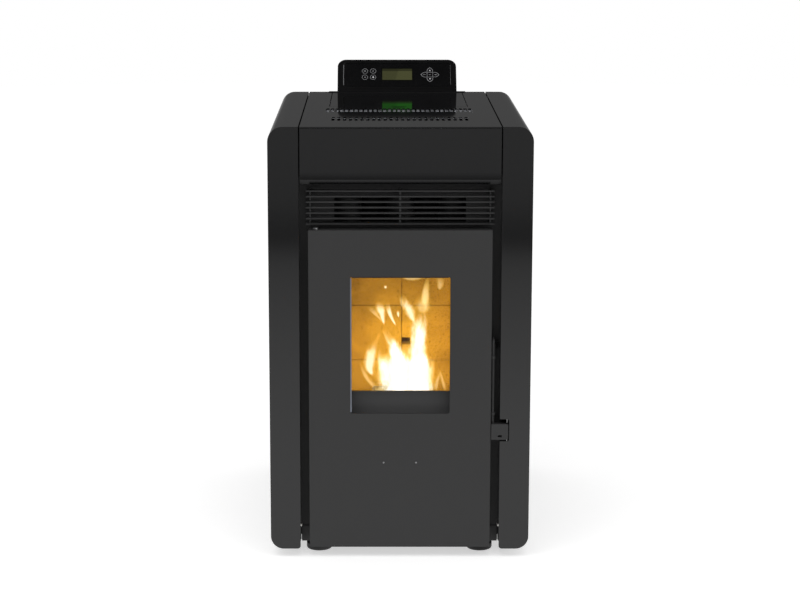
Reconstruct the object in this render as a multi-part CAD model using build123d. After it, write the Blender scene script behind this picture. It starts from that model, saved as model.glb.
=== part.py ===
from build123d import *
from math import cos, sin, tan, radians
import os

# A free-standing pellet stove. Millimetres, +Z up, the front faces -Y, the floor is Z = 0.
# The origin is the middle of the footprint, from the handle's grip to the end of the flue stub.
# A "depth" is always a distance behind the front plane.

# ---------------------------------------------------------------- overall sizes
body_width = 480.0
body_depth = 640.0
body_top = 806.0
ground_gap = 16.0       # floor to the underside of the casings
flue_reach = 60.0       # flue stub behind the body
grip_proud = 1.0        # handle's grip in front of the body
sheet = 2.0             # wall of all painted sheet metal
seam = 2.5              # visible joint between two painted panels
fit_gap = 0.3           # assembly clearance between parts that stay put
run_gap = 0.05          # radial clearance of a shaft or pin in its hole
y_front = -(body_depth + flue_reach - grip_proud) / 2

# ---------------------------------------------------------------- side casings
casing_face = 55.5      # width of each casing seen from the front
casing_inner = body_width / 2 - casing_face
casing_round_top = 27.0
casing_round_bottom = 24.0
casing_round_inner = 6.0
casing_lip = 14.0       # edge folded down beside the top and up beside the floor
notch_width = 17.0      # recess in the right casing for the fingers, beside the grip
notch_low = 223.0
notch_high = 265.0
notch_round = 4.0
notch_strip = 60.0      # depth of the strip welded in beside the recess

# ---------------------------------------------------------------- inner chassis
chassis_depth = 45.0    # front of the recessed front plate
plate_tuck = 5.5        # the front plate reaches this far behind the casings
front_plate_half = casing_inner + plate_tuck
frame_inset = 4.5       # outer face of the chassis sides, inside the casings' inner edges
frame_face = casing_inner - frame_inset
tray_floor = 18.0
tray_lip = 30.0         # height of the tray's front edge
tray_gap = 1.0          # tray beside the casings
rear_edge = 2.0         # the rear panel lies this far inside the casings' back edge
ledge = 12.0            # flange folded on the chassis sides

# ---------------------------------------------------------------- top
top_skirt = 12.0
vent_front_count = 24
vent_front_pitch = 10.75
vent_front_depth = 131.0
vent_front_length = 58.0
vent_front_width = 5.6
vent_rear_count = 31
vent_rear_pitch = 9.13
vent_rear_depth = 282.0
vent_rear_length = 60.0
vent_rear_width = 6.0
lid_side = 50.5         # each side of the lid inside the casing's inner edge
lid_half = casing_inner - lid_side
lid_front = 346.0
lid_gap = 1.5
finger_notch = 15.0     # radius of the notch in front of the lid
hinge_setback = 18.5    # lid hinge in front of the body's back edge
hinge_depth = body_depth - hinge_setback
barrel_radius = 2.6
barrel_gap = 0.5        # barrel to the edges in front of it and behind it
hinge_pin = 1.2
leaf = 1.2
leaf_margin = 8.0       # fixed leaf beyond the lid, at each end
leaf_half = lid_half + leaf_margin
barrel_inset = 4.0      # barrel inside the lid's sides
barrel_half = lid_half - barrel_inset
knuckle_count = 5
knuckle_gap = 0.4
lid_leaf_reach = 18.0

# ---------------------------------------------------------------- upper front
fascia_drop = 104.4     # top of the body to the fascia's lower edge
fascia_low = body_top - fascia_drop
fascia_turn = 8.4       # height of the slanted lower edge
fascia_turn_back = 7.0
fascia_gap = 0.7        # line under the top plate
bar_count = 7
bar_drop = 15.2         # fascia's lower edge to the middle of the top bar
bar_top = fascia_low - bar_drop
bar_pitch = 10.2
bar_height = 3.6
bar_depth = 7.0
bar_round = 1.2
bar_side = 12.5         # ends of the bars inside the casings' inner edges
bar_half = casing_inner - bar_side
bar_front = 25.0
rib_inset = 7.5
rib_half = bar_half - rib_inset
rib_width = 2.6
rib_middle = 3.4
outlet_side = 64.0      # warm-air opening inside the casings' inner edges
outlet_half = casing_inner - outlet_side
outlet_drop = 14.4      # middle of the top bar to the opening
outlet_high = bar_top - outlet_drop
outlet_height = 45.0
outlet_low = outlet_high - outlet_height

# ---------------------------------------------------------------- door
door_side = 17.0        # gap between the door and the casings' inner edges
door_half = casing_inner - door_side
door_low = 19.5
door_head = 9.0         # top of the door below the warm-air opening
door_high = outlet_low - door_head
door_edge = 20.0        # depth of the door's folded edges
door_round = 1.6
window_side = 76.0      # width of the door beside its window
window_half = door_half - window_side
window_low = 276.0
window_head = 86.0      # height of the door above its window
window_high = door_high - window_head
window_round = 4.0
inner_side = 21.5       # inner door frame inside the door's edges
inner_half = door_half - inner_side
inner_low = 44.0
inner_head = 28.0
inner_high = door_high - inner_head
inner_front = 30.0
inner_plate = 4.0
inner_round = 6.0
sight_margin = 5.5      # opening of the inner frame beyond the window's sides
sight_half = window_half + sight_margin
sight_sill = 35.0       # its lower edge above the window's
sight_low = window_low + sight_sill
sight_head = 9.0
sight_high = window_high + sight_head
sight_round = 5.0
glass_margin = 10.0
glass = 4.0
glass_round = 6.0
glass_seal_thick = 2.0
clip_inset = 40.0       # clips from the pane's upper and lower edge
clip_foot = 9.0
clip_tongue = 7.0
clip_half = 9.0
clip_plate = 1.5
pan_side = 24.0         # recess pressed into the inner frame in front of the ash drawer
pan_half = inner_half - pan_side
pan_low = 60.0
pan_high = 262.0
pan_front = 4.0
pan_round = 8.0
rope_width = 11.0
rope_inset = 5.0        # rope seal inside the inner frame's edge
rope_round = 22.0
spacer_radius = 6.0
spacer_side = 14.0      # spacers from the inner frame's edges
spacer_end = 20.0
rivet_x = 30.0
rivet_z = 182.4
rivet_radius = 1.7
rivet_head = 0.9
rivet_round = 0.55

# ---------------------------------------------------------------- door hinge
hinge_inset = 12.8      # pin inside the door's left edge
hinge_x = -(door_half - hinge_inset)
door_axis_depth = 12.0
pin_radius = 4.0
pin_head_radius = 5.8
pin_head = 3.4
pin_head_play = 0.1
pin_tail = 4.0          # lower pin above its bracket
pin_recess_low = 0.5    # lower pin inside the door's lower edge
bracket_plate = 6.0
bracket_head = 22.0     # underside of the upper bracket below the door's top
bracket_high = door_high - bracket_head
bracket_low = 36.0      # underside of the lower bracket
bracket_room = 5.0      # cut in the door's edge above and below a bracket
bracket_foot = 3.0
bracket_flange = 8.0
boss_radius = 8.0
arm_left = 3.5          # arm of the bracket, to the left and right of the pin
arm_right = 12.0
knuckle_radius = 7.0
door_play = 0.2         # knuckle above its bracket

# ---------------------------------------------------------------- latch
rod_offset = 3.8        # handle's rod beside the door
rod_x = door_half + rod_offset
rod_depth = 8.0
rod_radius = 2.75
rod_high = 412.0
rod_tip = 6.5
rod_taper = 20.0
grip_low = 226.0
grip_high = 256.0
grip_reach = 15.5       # grip beyond the casing's inner edge
grip_right = casing_inner + grip_reach
grip_back = 11.0
grip_round = 3.0
grip_slot = 8.0
grip_slot_height = 3.6
grip_slot_z = 7.0       # middle of the slot above the grip's lower edge
grip_slot_shift = 1.0
lug_plate = 5.0
lug_wall = 1.6
lug_heights = (272.0, 378.0)
cam_low = 393.0
cam_high = 404.0
cam_inner = 28.5        # radius at which the cam's toe passes behind the keeper
cam_outer = 32.0
cam_arm_angles = (69.0, 76.0)
cam_toe_angle = 97.0
keeper_offset = 8.3     # keeper pin to the left of the rod
keeper_x = rod_x - keeper_offset
keeper_depth = 30.0
keeper_radius = 3.0
keeper_low = 386.5
keeper_high = 411.0
keeper_tab = 2.5
keeper_tab_half = 6.0
keeper_tab_nose = 3.0

# ---------------------------------------------------------------- firebox
box_wall = 3.0
box_side = 56.5         # firebox inside the casings' inner edges
box_half = casing_inner - box_side
box_back = 252.0
box_low = 60.0
box_head = 30.0         # top of the firebox below the door's top
box_high = door_high - box_head
fire_side = 13.0
fire_half = box_half - fire_side    # door opening of the fire chamber
fire_low = 250.0
fire_head = 28.0
fire_high = box_high - fire_head
fire_round = 8.0
ash_side = 18.0
ash_half = box_half - ash_side
ash_high = 192.0
ash_round = 6.0
holder_z = 238.0
holder_plate = 4.0
rail_front = 4.0        # rails of the pot holder start behind the front plate
tile = 25.0
tile_joint = 0.8
tile_split_x = 6.0
tile_joints = (327.0, 435.0)
side_tile = 20.0
side_tile_front = 52.0
hole_gap = 1.0          # tile around a pipe or a bore
port_width = 16.0
port_height = 13.0
port_z = 364.5
baffle = 8.0
baffle_drop = 47.0      # top of the firebox to the joint under the baffle plate
baffle_front = 82.0
chute_drop = 96.0       # top of the firebox to the lower edge of the chute's hole
chute_low = box_high - chute_drop
chute_height = 48.0

pot_half = 52.0
pot_front = 96.0
pot_back = 186.0
pot_top = 284.0
pot_bottom = 222.0
pot_wall = 4.0
pot_draft = 8.0         # each side leans in by this much from top to bottom
pot_round = 10.0
pot_rim = 9.0
pot_hole = 3.0
pot_hole_rows = (256.0, 271.0)
pot_hole_pitch = 16.0
pot_grate_pitch = 18.0
ash_slot_depths = (72.0, 206.0)
ash_slot_pitch = 40.0
ash_slot_length = 26.0
ash_slot_width = 8.0
drawer_side = 6.0
drawer_half = ash_half - drawer_side
drawer_front = 58.0
drawer_rear = 12.0      # drawer in front of the firebox's back
drawer_back = box_back - drawer_rear
drawer_head = 10.0
drawer_top = ash_high - drawer_head
drawer_wall = 1.5
drawer_play = 0.4
pull_half = 40.0
pull_out = 14.0
pull_rod = 4.0
pull_height = 10.0
igniter_radius = 6.0
igniter_z = 262.0
igniter_gap = 2.0       # tip of the igniter behind the pot's rim
igniter_flange = 5.0
igniter_plate = 4.0
igniter_tail = 34.0

# ---------------------------------------------------------------- heat exchanger and smoke path
pipe_radius = 28.0
pipe_wall = 2.0
pipe_front_depth = 105.0
pipe_back_depth = 165.0
pipe_side = 29.0        # outer pipes' middle inside the firebox's side
pipe_spacing = box_half - pipe_side
collector_drop = 108.0  # top of the body to the underside of the smoke collector
collector_low = body_top - collector_drop
collector_height = 38.0
collector_high = collector_low + collector_height
hood_side = 42.5        # air hood inside the casings' inner edges
hood_half = casing_inner - hood_side
hood_back = 240.0
hood_gap = 1.0          # hood below the smoke collector
hood_sill = 30.0        # slit under the hood's back for the air to come in
collector_side = 6.0
collector_half = hood_half - collector_side
collector_front = 62.0
collector_back = 212.0
port_front = 74.0       # port of the fume duct, from the collector's back
port_back = 8.0
port_margin = 5.0
duct_side = 6.0
duct_outer = -(frame_face - duct_side)      # fume duct beside the firebox
duct_start = 40.0       # duct behind the collector's front
duct_front = 365.0
duct_back = 425.0
duct_tail = 42.0        # lower end below the fan's shaft
fan_depth = 395.0
fan_z = 150.0
fan_casing = 62.0
fan_width = 53.0
fan_eye = 24.0          # radius of the fan's inlet
fan_outlet_depth = 470.0
wheel_gap = 6.0         # wheel beside the housing's walls
impeller_radius = 46.0
impeller_eye = 18.0
impeller_hub = 10.0
impeller_hub_start = 14.0
impeller_plate = 2.0
impeller_blades = 8
blade_bow = 22.0        # radius of a blade's outer face
blade_sheet = 1.5
blade_shift = 12.0
fan_shaft = 4.0
shaft_seat = 20.0       # length of the shaft in its motor
shaft_room = 24.0
motor_radius = 30.0
motor_length = 48.0
motor_neck = 10.0       # narrower end cap of the motor
flue_radius = 40.0
flue_wall = 1.5
outlet_rim = 2.0        # edge of the flue's end plate around the fan's outlet
collar = 2.5           # height and width of the stop bead on a pipe

# ---------------------------------------------------------------- room air fan
blower_depth = 390.0
blower_z = 85.0
blower_gap = 5.0        # beside the smoke fan's motor
blower_left = fan_width - collector_half + motor_length + motor_neck + blower_gap
blower_side = 62.0
blower_right = frame_face - blower_side
blower_reach = 46.0     # end plates around the shaft
blower_round = 4.0
blower_motor_radius = 27.0
blower_motor_length = 40.0
rotor_radius = 32.0
rotor_blades = 20
rotor_gap = 4.0
rotor_disc = 1.5
blade_chord = 9.0
blade_thick = 1.0
blade_inset = 0.5
blade_pitch_angle = 62.0
scroll_radius = 40.0
intake_side = 28.0
intake_x = box_half - intake_side
intake_z = 190.0
intake_radius = 25.0
intake_reach = 40.0

# ---------------------------------------------------------------- pellet feed
drop_gap = 34.0         # pellets' drop behind the firebox
drop_front = box_back + drop_gap
drop_length = 50.0
drop_back = drop_front + drop_length
drop_lip = 41.0         # lower end of the drop above the chute's lower edge
drop_bottom = chute_low + drop_lip
drop_rise = 63.34       # auger's axis above the drop's lower end
auger_angle = 35.0
auger_setback = 120.0   # lower end of the auger in front of the body's back edge
auger_low_depth = body_depth - auger_setback
auger_run = auger_low_depth - drop_front
auger_low_z = drop_bottom + drop_rise - (auger_run - drop_length / 2) * tan(radians(auger_angle))
auger_length = auger_run / cos(radians(auger_angle))
auger_tube_radius = 31.0
auger_wall = 2.0
auger_cap = 3.0         # end plates of the tube
gear_flange = 4.0       # flange of the tube around the gearbox
screw_radius = 26.5
screw_shaft = 8.0
screw_pitch = 38.0
screw_ends = (8.0, 12.0)
screw_tail = 20.0       # shaft in the gearbox
screw_nose = 2.0        # shaft short of the tube's upper end
flight = 2.2
neck_half = 28.0
inlet_end = 10.0        # pellet inlet above the tube's lower end
inlet_back = auger_low_depth - inlet_end
inlet_length = 60.0
inlet_front = inlet_back - inlet_length
inlet_rise = 95.0
inlet_top = auger_low_z + inlet_rise
neck_height = 25.0       # straight walls of the inlet over the tube
gearbox = 70.0
gearbox_length = 42.0
auger_motor_radius = 28.0
auger_motor_length = 44.0
chute_knee = 14.0       # upright part of the chute under the drop
hopper_side = 54.0
hopper_half = frame_face - hopper_side
hopper_inset = 10.0     # hopper behind the lid's front edge
hopper_front = lid_front + hopper_inset
hopper_setback = 30.0
hopper_back = body_depth - hopper_setback
rim_drop = 6.0
hopper_rim = body_top - rim_drop
flange_drop = 20.0
flange_z = body_top - flange_drop
flange_lead = 1.4       # flange behind the rear row of vents
flange_front = vent_rear_depth + vent_rear_length / 2 + flange_lead
bin_height = 118.0      # upright walls below the flange
hopper_waist = flange_z - bin_height
hopper_seal_width = 6.0
hopper_seal_back = 12.0
guard_bars = 7
guard_radius = 2.0
guard_drop = 18.0
guard_z = hopper_waist - guard_drop
guard_gap = 2.0
guard_end = 6.0
guard_fill = 0.92       # share of the guard's width that its bars take

# ---------------------------------------------------------------- controls
panel_half = 124.5
panel_rise = 62.0
panel_top = body_top + panel_rise
panel_drop = 38.0
panel_low = body_top - panel_drop
panel_edge = 36.0       # height of the housing's upper back face
panel_foot = 14.0       # thickness of its upright foot
panel_shoulder = 18.0
panel_neck = body_top - panel_shoulder
panel_round = 18.0
panel_lean = 41.0       # degrees the face leans back
panel_rear_gap = 1.5    # between the casings' back edge and the housing
keypad_side = 12.0
keypad_half = panel_half - keypad_side
keypad_low = 12.7       # along the face, from the foot of the face
keypad_high = 73.6
keypad_round = 8.0
keypad_thick = 1.4
keypad_recess = 2.0
screen_half = 32.6
screen_low = 28.8
screen_high = 59.4
screen_set_back = 0.3
boss_x = 80.0
boss_drop = 26.0
boss_z = body_top - boss_drop
boss_size = 9.0
boss_hole = 2.5
boss_hole_depth = 12.0
board_gap = 8.0
board_x = frame_face - board_gap
board_thick = 1.6
board_setback = 40.0
board_back = body_depth - board_setback
board_length = 150.0
board_front = board_back - board_length
board_low = 300.0
board_height = 120.0
board_high = board_low + board_height
stud_inset = 6.0
stud_size = 3.0
transformer = (22.0, 12.0, 36.0, 14.0, 42.0)    # reach, start, length, sill, height
relay = (15.0, 60.0, 14.0, 14.0, 30.0)
relay_count = 4
relay_pitch = 20.0
plug_strip = (10.0, 20.0, 110.0, 98.0, 12.0)
inlet_side = 42.0
inlet_x = frame_face - inlet_side
inlet_z = 100.0
inlet_width = 60.0
inlet_height = 30.0
inlet_round = 3.0
inlet_rim = 3.0
inlet_plate = 2.5
inlet_depth = 26.0
socket_shift = 12.5
socket_x = inlet_x - socket_shift
socket_width = 24.0
socket_height = 17.0
socket_depth = 15.0
socket_pins = ((0.0, 3.0), (-7.0, -2.0), (7.0, -2.0))
socket_pin = (1.0, 2.0)     # half width and half height
pin_recess = 6.0
switch_shift = 15.0
switch_x = inlet_x + switch_shift
switch_half = 7.0
switch_reach = 9.0      # half the height of the rocker
switch_room = 1.3
switch_tilt = 6.0       # degrees each side of the middle
switch_radius = 7.0
switch_proud = 1.2
switch_dip = 1.6
switch_root = (3.0, 5.0)    # depth and half height of the rocker's root

# ---------------------------------------------------------------- louvres of the rear panel
louvre_length = 70.0
louvre_width = 6.0
louvre_pitch = 16.0
louvre_count = 7
louvre_side = 65.0
louvre_x = frame_face - louvre_side
louvre_z = 330.0

# ---------------------------------------------------------------- feet
foot_side = 33.5
foot_x = casing_inner - foot_side
foot_front = 59.0
foot_setback = 55.0
foot_back = body_depth - foot_setback
foot_radius = 24.0
foot_height = 11.5
foot_round = 4.0
stud_radius = 5.0
stud_top = 38.0
nut_radius = 9.5
nut_height = 8.0
lock_nut = 5.0


# ---------------------------------------------------------------- drawing helpers
def block(x0, x1, depth0, depth1, z0, z1):
    """A box between two X values, two depths and two heights."""
    centre = ((x0 + x1) / 2, y_front + (depth0 + depth1) / 2, (z0 + z1) / 2)
    return Pos(*centre) * Box(x1 - x0, depth1 - depth0, z1 - z0)


def from_front(face, depth0, depth1):
    """Extrude a face drawn in X and Z from one depth to another."""
    plane = Plane(origin=(0, y_front + depth1, 0), x_dir=(1, 0, 0), z_dir=(0, -1, 0))
    return extrude(plane * face, amount=depth1 - depth0)


def from_side(face, x0, x1):
    """Extrude a face drawn in depth and Z from one X to another."""
    plane = Plane(origin=(x0, y_front, 0), x_dir=(0, 1, 0), z_dir=(1, 0, 0))
    return extrude(plane * face, amount=x1 - x0)


def from_above(face, z0, z1):
    """Extrude a face drawn in X and depth from one height to another."""
    plane = Plane(origin=(0, y_front, z0), x_dir=(1, 0, 0), z_dir=(0, 0, 1))
    return extrude(plane * face, amount=z1 - z0)


def rect(x0, x1, y0, y1):
    return Pos((x0 + x1) / 2, (y0 + y1) / 2) * Rectangle(x1 - x0, y1 - y0)


def round_rect(x0, x1, y0, y1, radius):
    return Pos((x0 + x1) / 2, (y0 + y1) / 2) * RectangleRounded(x1 - x0, y1 - y0, radius)


def disc(x, y, radius):
    return Pos(x, y) * Circle(radius)


def polygon(*points):
    return make_face(Polyline(*points, close=True))


def round_corner(face, x, y, radius):
    """Round the corner of a face that lies nearest to a point."""
    corner = min(face.vertices(), key=lambda v: (v.X - x) ** 2 + (v.Y - y) ** 2)
    return fillet(corner, radius)


def mirrored(shape):
    return mirror(shape, about=Plane.YZ)


def group(*shapes):
    """Several separate solids kept as one node."""
    return Compound(children=[solid for shape in shapes for solid in shape.solids()])


def between(shape, depth0, depth1, z0, z1):
    """The part of a shape between two depths and two heights."""
    return shape & block(-body_width, body_width, depth0, depth1, z0, z1)


def spread(count, pitch):
    """Evenly spaced places, centred on zero."""
    return [(index - (count - 1) / 2) * pitch for index in range(count)]


nodes = {}


# ---------------------------------------------------------------- side casings
def casing_outline(inset):
    left = casing_inner + inset
    right = body_width / 2 - inset
    low = ground_gap + inset
    high = body_top - inset
    face = rect(left, right, low, high)
    face = round_corner(face, right, high, casing_round_top - inset)
    face = round_corner(face, right, low, casing_round_bottom - inset)
    return round_corner(face, left, low, casing_round_inner - inset)


def casing():
    """A wrapped sheet: closed front, outer side, top and bottom strips, and a short inner wall."""
    shell = from_front(casing_outline(0), 0, body_depth)
    shell -= from_front(casing_outline(sheet), sheet, body_depth + sheet)
    open_side = block(
        casing_inner - sheet,
        casing_inner + 2 * sheet,
        chassis_depth,
        body_depth + sheet,
        ground_gap + casing_lip,
        body_top - casing_lip,
    )
    return shell - open_side


finger_recess = round_rect(
    casing_inner - notch_width, casing_inner + notch_width, notch_low, notch_high, notch_round
)
nodes["left_casing"] = mirrored(casing())
recessed = casing() - from_front(finger_recess, -sheet, chassis_depth + sheet)
strip_zone = block(casing_inner, body_width / 2, 0, notch_strip, notch_low, notch_high)
nodes["right_casing"] = group(recessed - strip_zone, recessed & strip_zone)

# ---------------------------------------------------------------- chassis
rear_face = body_depth - rear_edge
rear_inner = rear_face - sheet
plate_back = chassis_depth + sheet
foot_spots = [(x, depth) for x in (-foot_x, foot_x) for depth in (foot_front, foot_back)]


def base_tray():
    """Floor sheet with folded edges and a welded nut over each foot."""
    tray = block(-frame_face, frame_face, plate_back, rear_inner, tray_floor, tray_floor + sheet)
    lip_half = casing_inner - tray_gap
    lip_front = chassis_depth - sheet
    tray += block(-lip_half, lip_half, lip_front, plate_back, tray_floor, tray_floor + sheet)
    tray += block(-lip_half, lip_half, lip_front, chassis_depth, tray_floor, tray_floor + tray_lip)
    for x, depth in foot_spots:
        tray += from_above(
            Pos(x, depth) * RegularPolygon(nut_radius, 6), tray_floor + sheet, tray_floor + sheet + nut_height
        )
    for x, depth in foot_spots:
        tray -= from_above(disc(x, depth, stud_radius + run_gap), tray_floor - sheet, body_top)
    return tray


def side_frame():
    """Chassis side with a ledge for the hopper flange and folded front and rear edges."""
    low = tray_floor + sheet
    inner = frame_face - sheet
    side = block(inner, frame_face, plate_back, rear_inner, low, body_top - sheet)
    side += block(inner - ledge, inner, plate_back, plate_back + sheet, low, body_top - sheet)
    side += block(inner - ledge, inner, rear_inner - sheet, rear_inner, low, body_top - top_skirt - sheet)
    side += block(inner - ledge, inner, flange_front, rear_inner, flange_z - sheet, flange_z)
    return side


nodes["base_tray"] = base_tray()
nodes["side_frames"] = group(side_frame(), mirrored(side_frame()))

ash_low = box_low + box_wall
plate_low = ground_gap + casing_lip + fit_gap
front_plate = rect(-front_plate_half, front_plate_half, plate_low, body_top - casing_lip - fit_gap)
middle_half = casing_inner - fit_gap
front_plate += rect(-middle_half, middle_half, tray_floor + sheet, body_top - sheet - fit_gap)
body_front = from_front(front_plate, chassis_depth, plate_back)
body_front -= from_front(round_rect(-fire_half, fire_half, fire_low, fire_high, fire_round), 0, body_depth)
body_front -= from_front(round_rect(-ash_half, ash_half, ash_low, ash_high, ash_round), 0, body_depth)
body_front -= block(-outlet_half, outlet_half, 0, body_depth, outlet_low, outlet_high)
bands = (0, outlet_low, outlet_high, body_top)
nodes["body_front"] = group(*(between(body_front, 0, body_depth, *ends) for ends in zip(bands, bands[1:])))

# ---------------------------------------------------------------- top plate, lid and lid hinge
top_half = casing_inner - seam
under_top = body_top - sheet
lid_back = hinge_depth - barrel_radius - barrel_gap
opening_back = hinge_depth + barrel_radius + barrel_gap
slot_row = Sketch() + [
    Pos(x, vent_front_depth) * Rot(0, 0, 90) * SlotOverall(vent_front_length, vent_front_width)
    for x in spread(vent_front_count, vent_front_pitch)
]
slot_row += [
    Pos(x, vent_rear_depth) * Rot(0, 0, 90) * SlotOverall(vent_rear_length, vent_rear_width)
    for x in spread(vent_rear_count, vent_rear_pitch)
]
lid_opening = rect(-lid_half - lid_gap, lid_half + lid_gap, lid_front - lid_gap, opening_back)
lid_opening += disc(0, lid_front, finger_notch)

top_plate = block(-top_half, top_half, 0, body_depth, under_top, body_top)
for edge in (-top_half, top_half - sheet):
    top_plate += block(edge, edge + sheet, plate_back, rear_inner, under_top - top_skirt, under_top)
top_plate += block(-top_half, top_half, rear_face, body_depth, under_top - top_skirt, under_top)
top_plate -= from_above(slot_row, under_top - 1, body_top + 1)
top_plate -= from_above(lid_opening, under_top - 1, body_top + 1)
nodes["top_plate"] = top_plate

hopper_lid = block(-lid_half, lid_half, lid_front, lid_back, under_top, body_top)
hopper_lid += block(-lid_half, lid_half, lid_front, lid_front + sheet, under_top - top_skirt, under_top)
for edge in (-lid_half, lid_half - sheet):
    hopper_lid += block(edge, edge + sheet, lid_front, lid_back - 2 * sheet, under_top - top_skirt, under_top)
nodes["hopper_lid"] = hopper_lid

barrel_z = body_top + leaf - barrel_radius
knuckle_length = 2 * barrel_half / knuckle_count


def knuckles(first, bore):
    """Every second knuckle of the continuous hinge."""
    shape = Part()
    ring = disc(hinge_depth, barrel_z, barrel_radius) - disc(hinge_depth, barrel_z, bore)
    for index in range(first, knuckle_count, 2):
        start = -barrel_half + index * knuckle_length + knuckle_gap / 2
        end = start + knuckle_length - knuckle_gap
        shape += from_side(ring, start, end)
    return shape


def hinge_gaps(first):
    """Room in a leaf beside the other leaf's knuckles."""
    shape = Part()
    for index in range(first, knuckle_count, 2):
        start = -barrel_half + index * knuckle_length - knuckle_gap / 2
        reach = barrel_radius + knuckle_gap
        shape += from_side(disc(hinge_depth, barrel_z, reach), start, start + knuckle_length + knuckle_gap)
    return shape


fixed_leaf = block(-leaf_half, leaf_half, opening_back, body_depth, body_top, body_top + leaf)
tongues = block(-barrel_half, barrel_half, hinge_depth, opening_back, body_top, body_top + leaf)
tongues -= from_side(disc(hinge_depth, barrel_z, hinge_pin), -barrel_half, barrel_half)
nodes["lid_hinge_fixed"] = (
    fixed_leaf
    + (tongues - hinge_gaps(1))
    + knuckles(0, hinge_pin)
    + from_side(disc(hinge_depth, barrel_z, hinge_pin), -barrel_half, barrel_half)
)
lid_leaf = block(
    -barrel_half, barrel_half, hinge_depth - lid_leaf_reach, hinge_depth, under_top - leaf, under_top
)
lid_leaf -= from_side(disc(hinge_depth, barrel_z, hinge_pin + run_gap), -barrel_half, barrel_half)
lid_leaf -= hinge_gaps(0)
nodes["lid_hinge_leaf"] = lid_leaf + knuckles(1, hinge_pin + run_gap)

# ---------------------------------------------------------------- fascia and grille
fascia_top = under_top - fascia_gap
turn_top = fascia_low + fascia_turn
fascia_profile = polygon(
    (0, fascia_top),
    (0, turn_top),
    (fascia_turn_back, fascia_low),
    (fascia_turn_back + sheet, fascia_low + sheet / 2),
    (sheet, turn_top + sheet / 2),
    (sheet, fascia_top),
)
fascia = from_side(fascia_profile, -top_half, top_half)
for edge in (-top_half, top_half - sheet):
    fascia += block(edge, edge + sheet, 0, chassis_depth, turn_top, fascia_top)
nodes["front_fascia"] = fascia

grille = Part()
bar_face = rect(bar_front, bar_front + bar_depth, -bar_height / 2, bar_height / 2)
bar_face = round_corner(bar_face, bar_front, bar_height / 2, bar_round)
bar_face = round_corner(bar_face, bar_front, -bar_height / 2, bar_round)
for index in range(bar_count):
    grille += from_side(Pos(0, bar_top - index * bar_pitch) * bar_face, -bar_half, bar_half)
bar_bottom = bar_top - (bar_count - 1) * bar_pitch
rib_low = bar_bottom - bar_height / 2
rib_high = bar_top + bar_height / 2
for x, width in ((-rib_half, rib_width), (0, rib_middle), (rib_half, rib_width)):
    rib_front = bar_front + bar_depth / 2
    grille += block(x - width / 2, x + width / 2, rib_front, chassis_depth, rib_low, rib_high)
nodes["air_grille"] = grille

# ---------------------------------------------------------------- rear panel
wall_half = body_width / 2 - sheet - fit_gap
wall_low = ground_gap + sheet + fit_gap
wall_high = under_top - fit_gap
rear_outline = rect(-wall_half, wall_half, wall_low, wall_high)
for side in (-wall_half, wall_half):
    rear_outline = round_corner(rear_outline, side, wall_high, casing_round_top)
    rear_outline = round_corner(rear_outline, side, wall_low, casing_round_bottom)
duct_inner = -collector_half
fan_left = duct_inner
fan_right = fan_left + fan_width
fan_x = (fan_left + fan_right) / 2
flue_z = fan_z + fan_casing / 2
rear_cuts = Sketch() + disc(fan_x, flue_z, flue_radius + fit_gap)
rear_cuts += disc(intake_x, intake_z, intake_radius + fit_gap)
inlet_body_half = inlet_width / 2 - inlet_rim
inlet_body_rise = inlet_height / 2 - inlet_rim
rear_cuts += Pos(inlet_x, inlet_z) * Rectangle(2 * inlet_body_half, 2 * inlet_body_rise)
for x in (-louvre_x, 0.0, louvre_x):
    rear_cuts += [
        Pos(x, louvre_z + z) * SlotOverall(louvre_length, louvre_width)
        for z in spread(louvre_count, louvre_pitch)
    ]
rear_panel = from_front(rear_outline - rear_cuts, rear_inner, rear_face)
for side in (-1, 1):
    edge = casing_inner - fit_gap
    strip = sorted((side * edge, side * (casing_inner + sheet + fit_gap)))
    bend = sorted((side * edge, side * (casing_inner + casing_round_inner)))
    lip_end = ground_gap + casing_lip + fit_gap
    rear_panel -= block(*strip, rear_inner - 1, rear_face + 1, wall_low - 1, lip_end)
    rear_panel -= block(*strip, rear_inner - 1, rear_face + 1, body_top - casing_lip - fit_gap, wall_high + 1)
    rear_panel -= block(*bend, rear_inner - 1, rear_face + 1, wall_low - 1, ground_gap + casing_round_inner)
nodes["rear_panel"] = rear_panel

# ---------------------------------------------------------------- firebox and its linings
box_front = plate_back
inside_half = box_half - box_wall
inside_back = box_back - box_wall
pipe_spots = [(x, pipe_front_depth) for x in (-pipe_spacing, 0, pipe_spacing)]
pipe_spots += [(x, pipe_back_depth) for x in (-pipe_spacing / 2, pipe_spacing / 2)]
chute_half = neck_half - sheet
chute_high = chute_low + chute_height
pot_middle = (pot_front + pot_back) / 2



def back_wall(low, high):
    """One of the two plates behind the fire and the ash drawer, with the holes for what comes through."""
    wall = rect(-inside_half, inside_half, low, high)
    wall -= rect(-chute_half, chute_half, chute_low, chute_high)
    wall -= disc(intake_x, intake_z, intake_radius + fit_gap)
    wall -= disc(0, igniter_z, igniter_radius + run_gap)
    return from_front(wall, inside_back, box_back)


def firebox():
    """Welded from plates: a roof on two sides, the floor, the two back walls, and a rail on each side."""
    under_roof = box_high - box_wall
    roof = block(-box_half, box_half, box_front, box_back, under_roof, box_high)
    for x, depth in pipe_spots:
        roof -= from_above(disc(x, depth, pipe_radius - pipe_wall), under_roof - 1, box_high + 1)
    floor = block(-inside_half, inside_half, box_front, box_back, box_low, ash_low)
    side = block(inside_half, box_half, box_front, box_back, box_low, under_roof)
    rail = block(
        inside_half - ledge, inside_half, box_front + rail_front, inside_back, holder_z - box_wall, holder_z
    )
    back_walls = (back_wall(ash_low, holder_z), back_wall(holder_z, under_roof))
    return group(roof, floor, side, mirrored(side), *back_walls, rail, mirrored(rail))


nodes["firebox"] = firebox()

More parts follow.
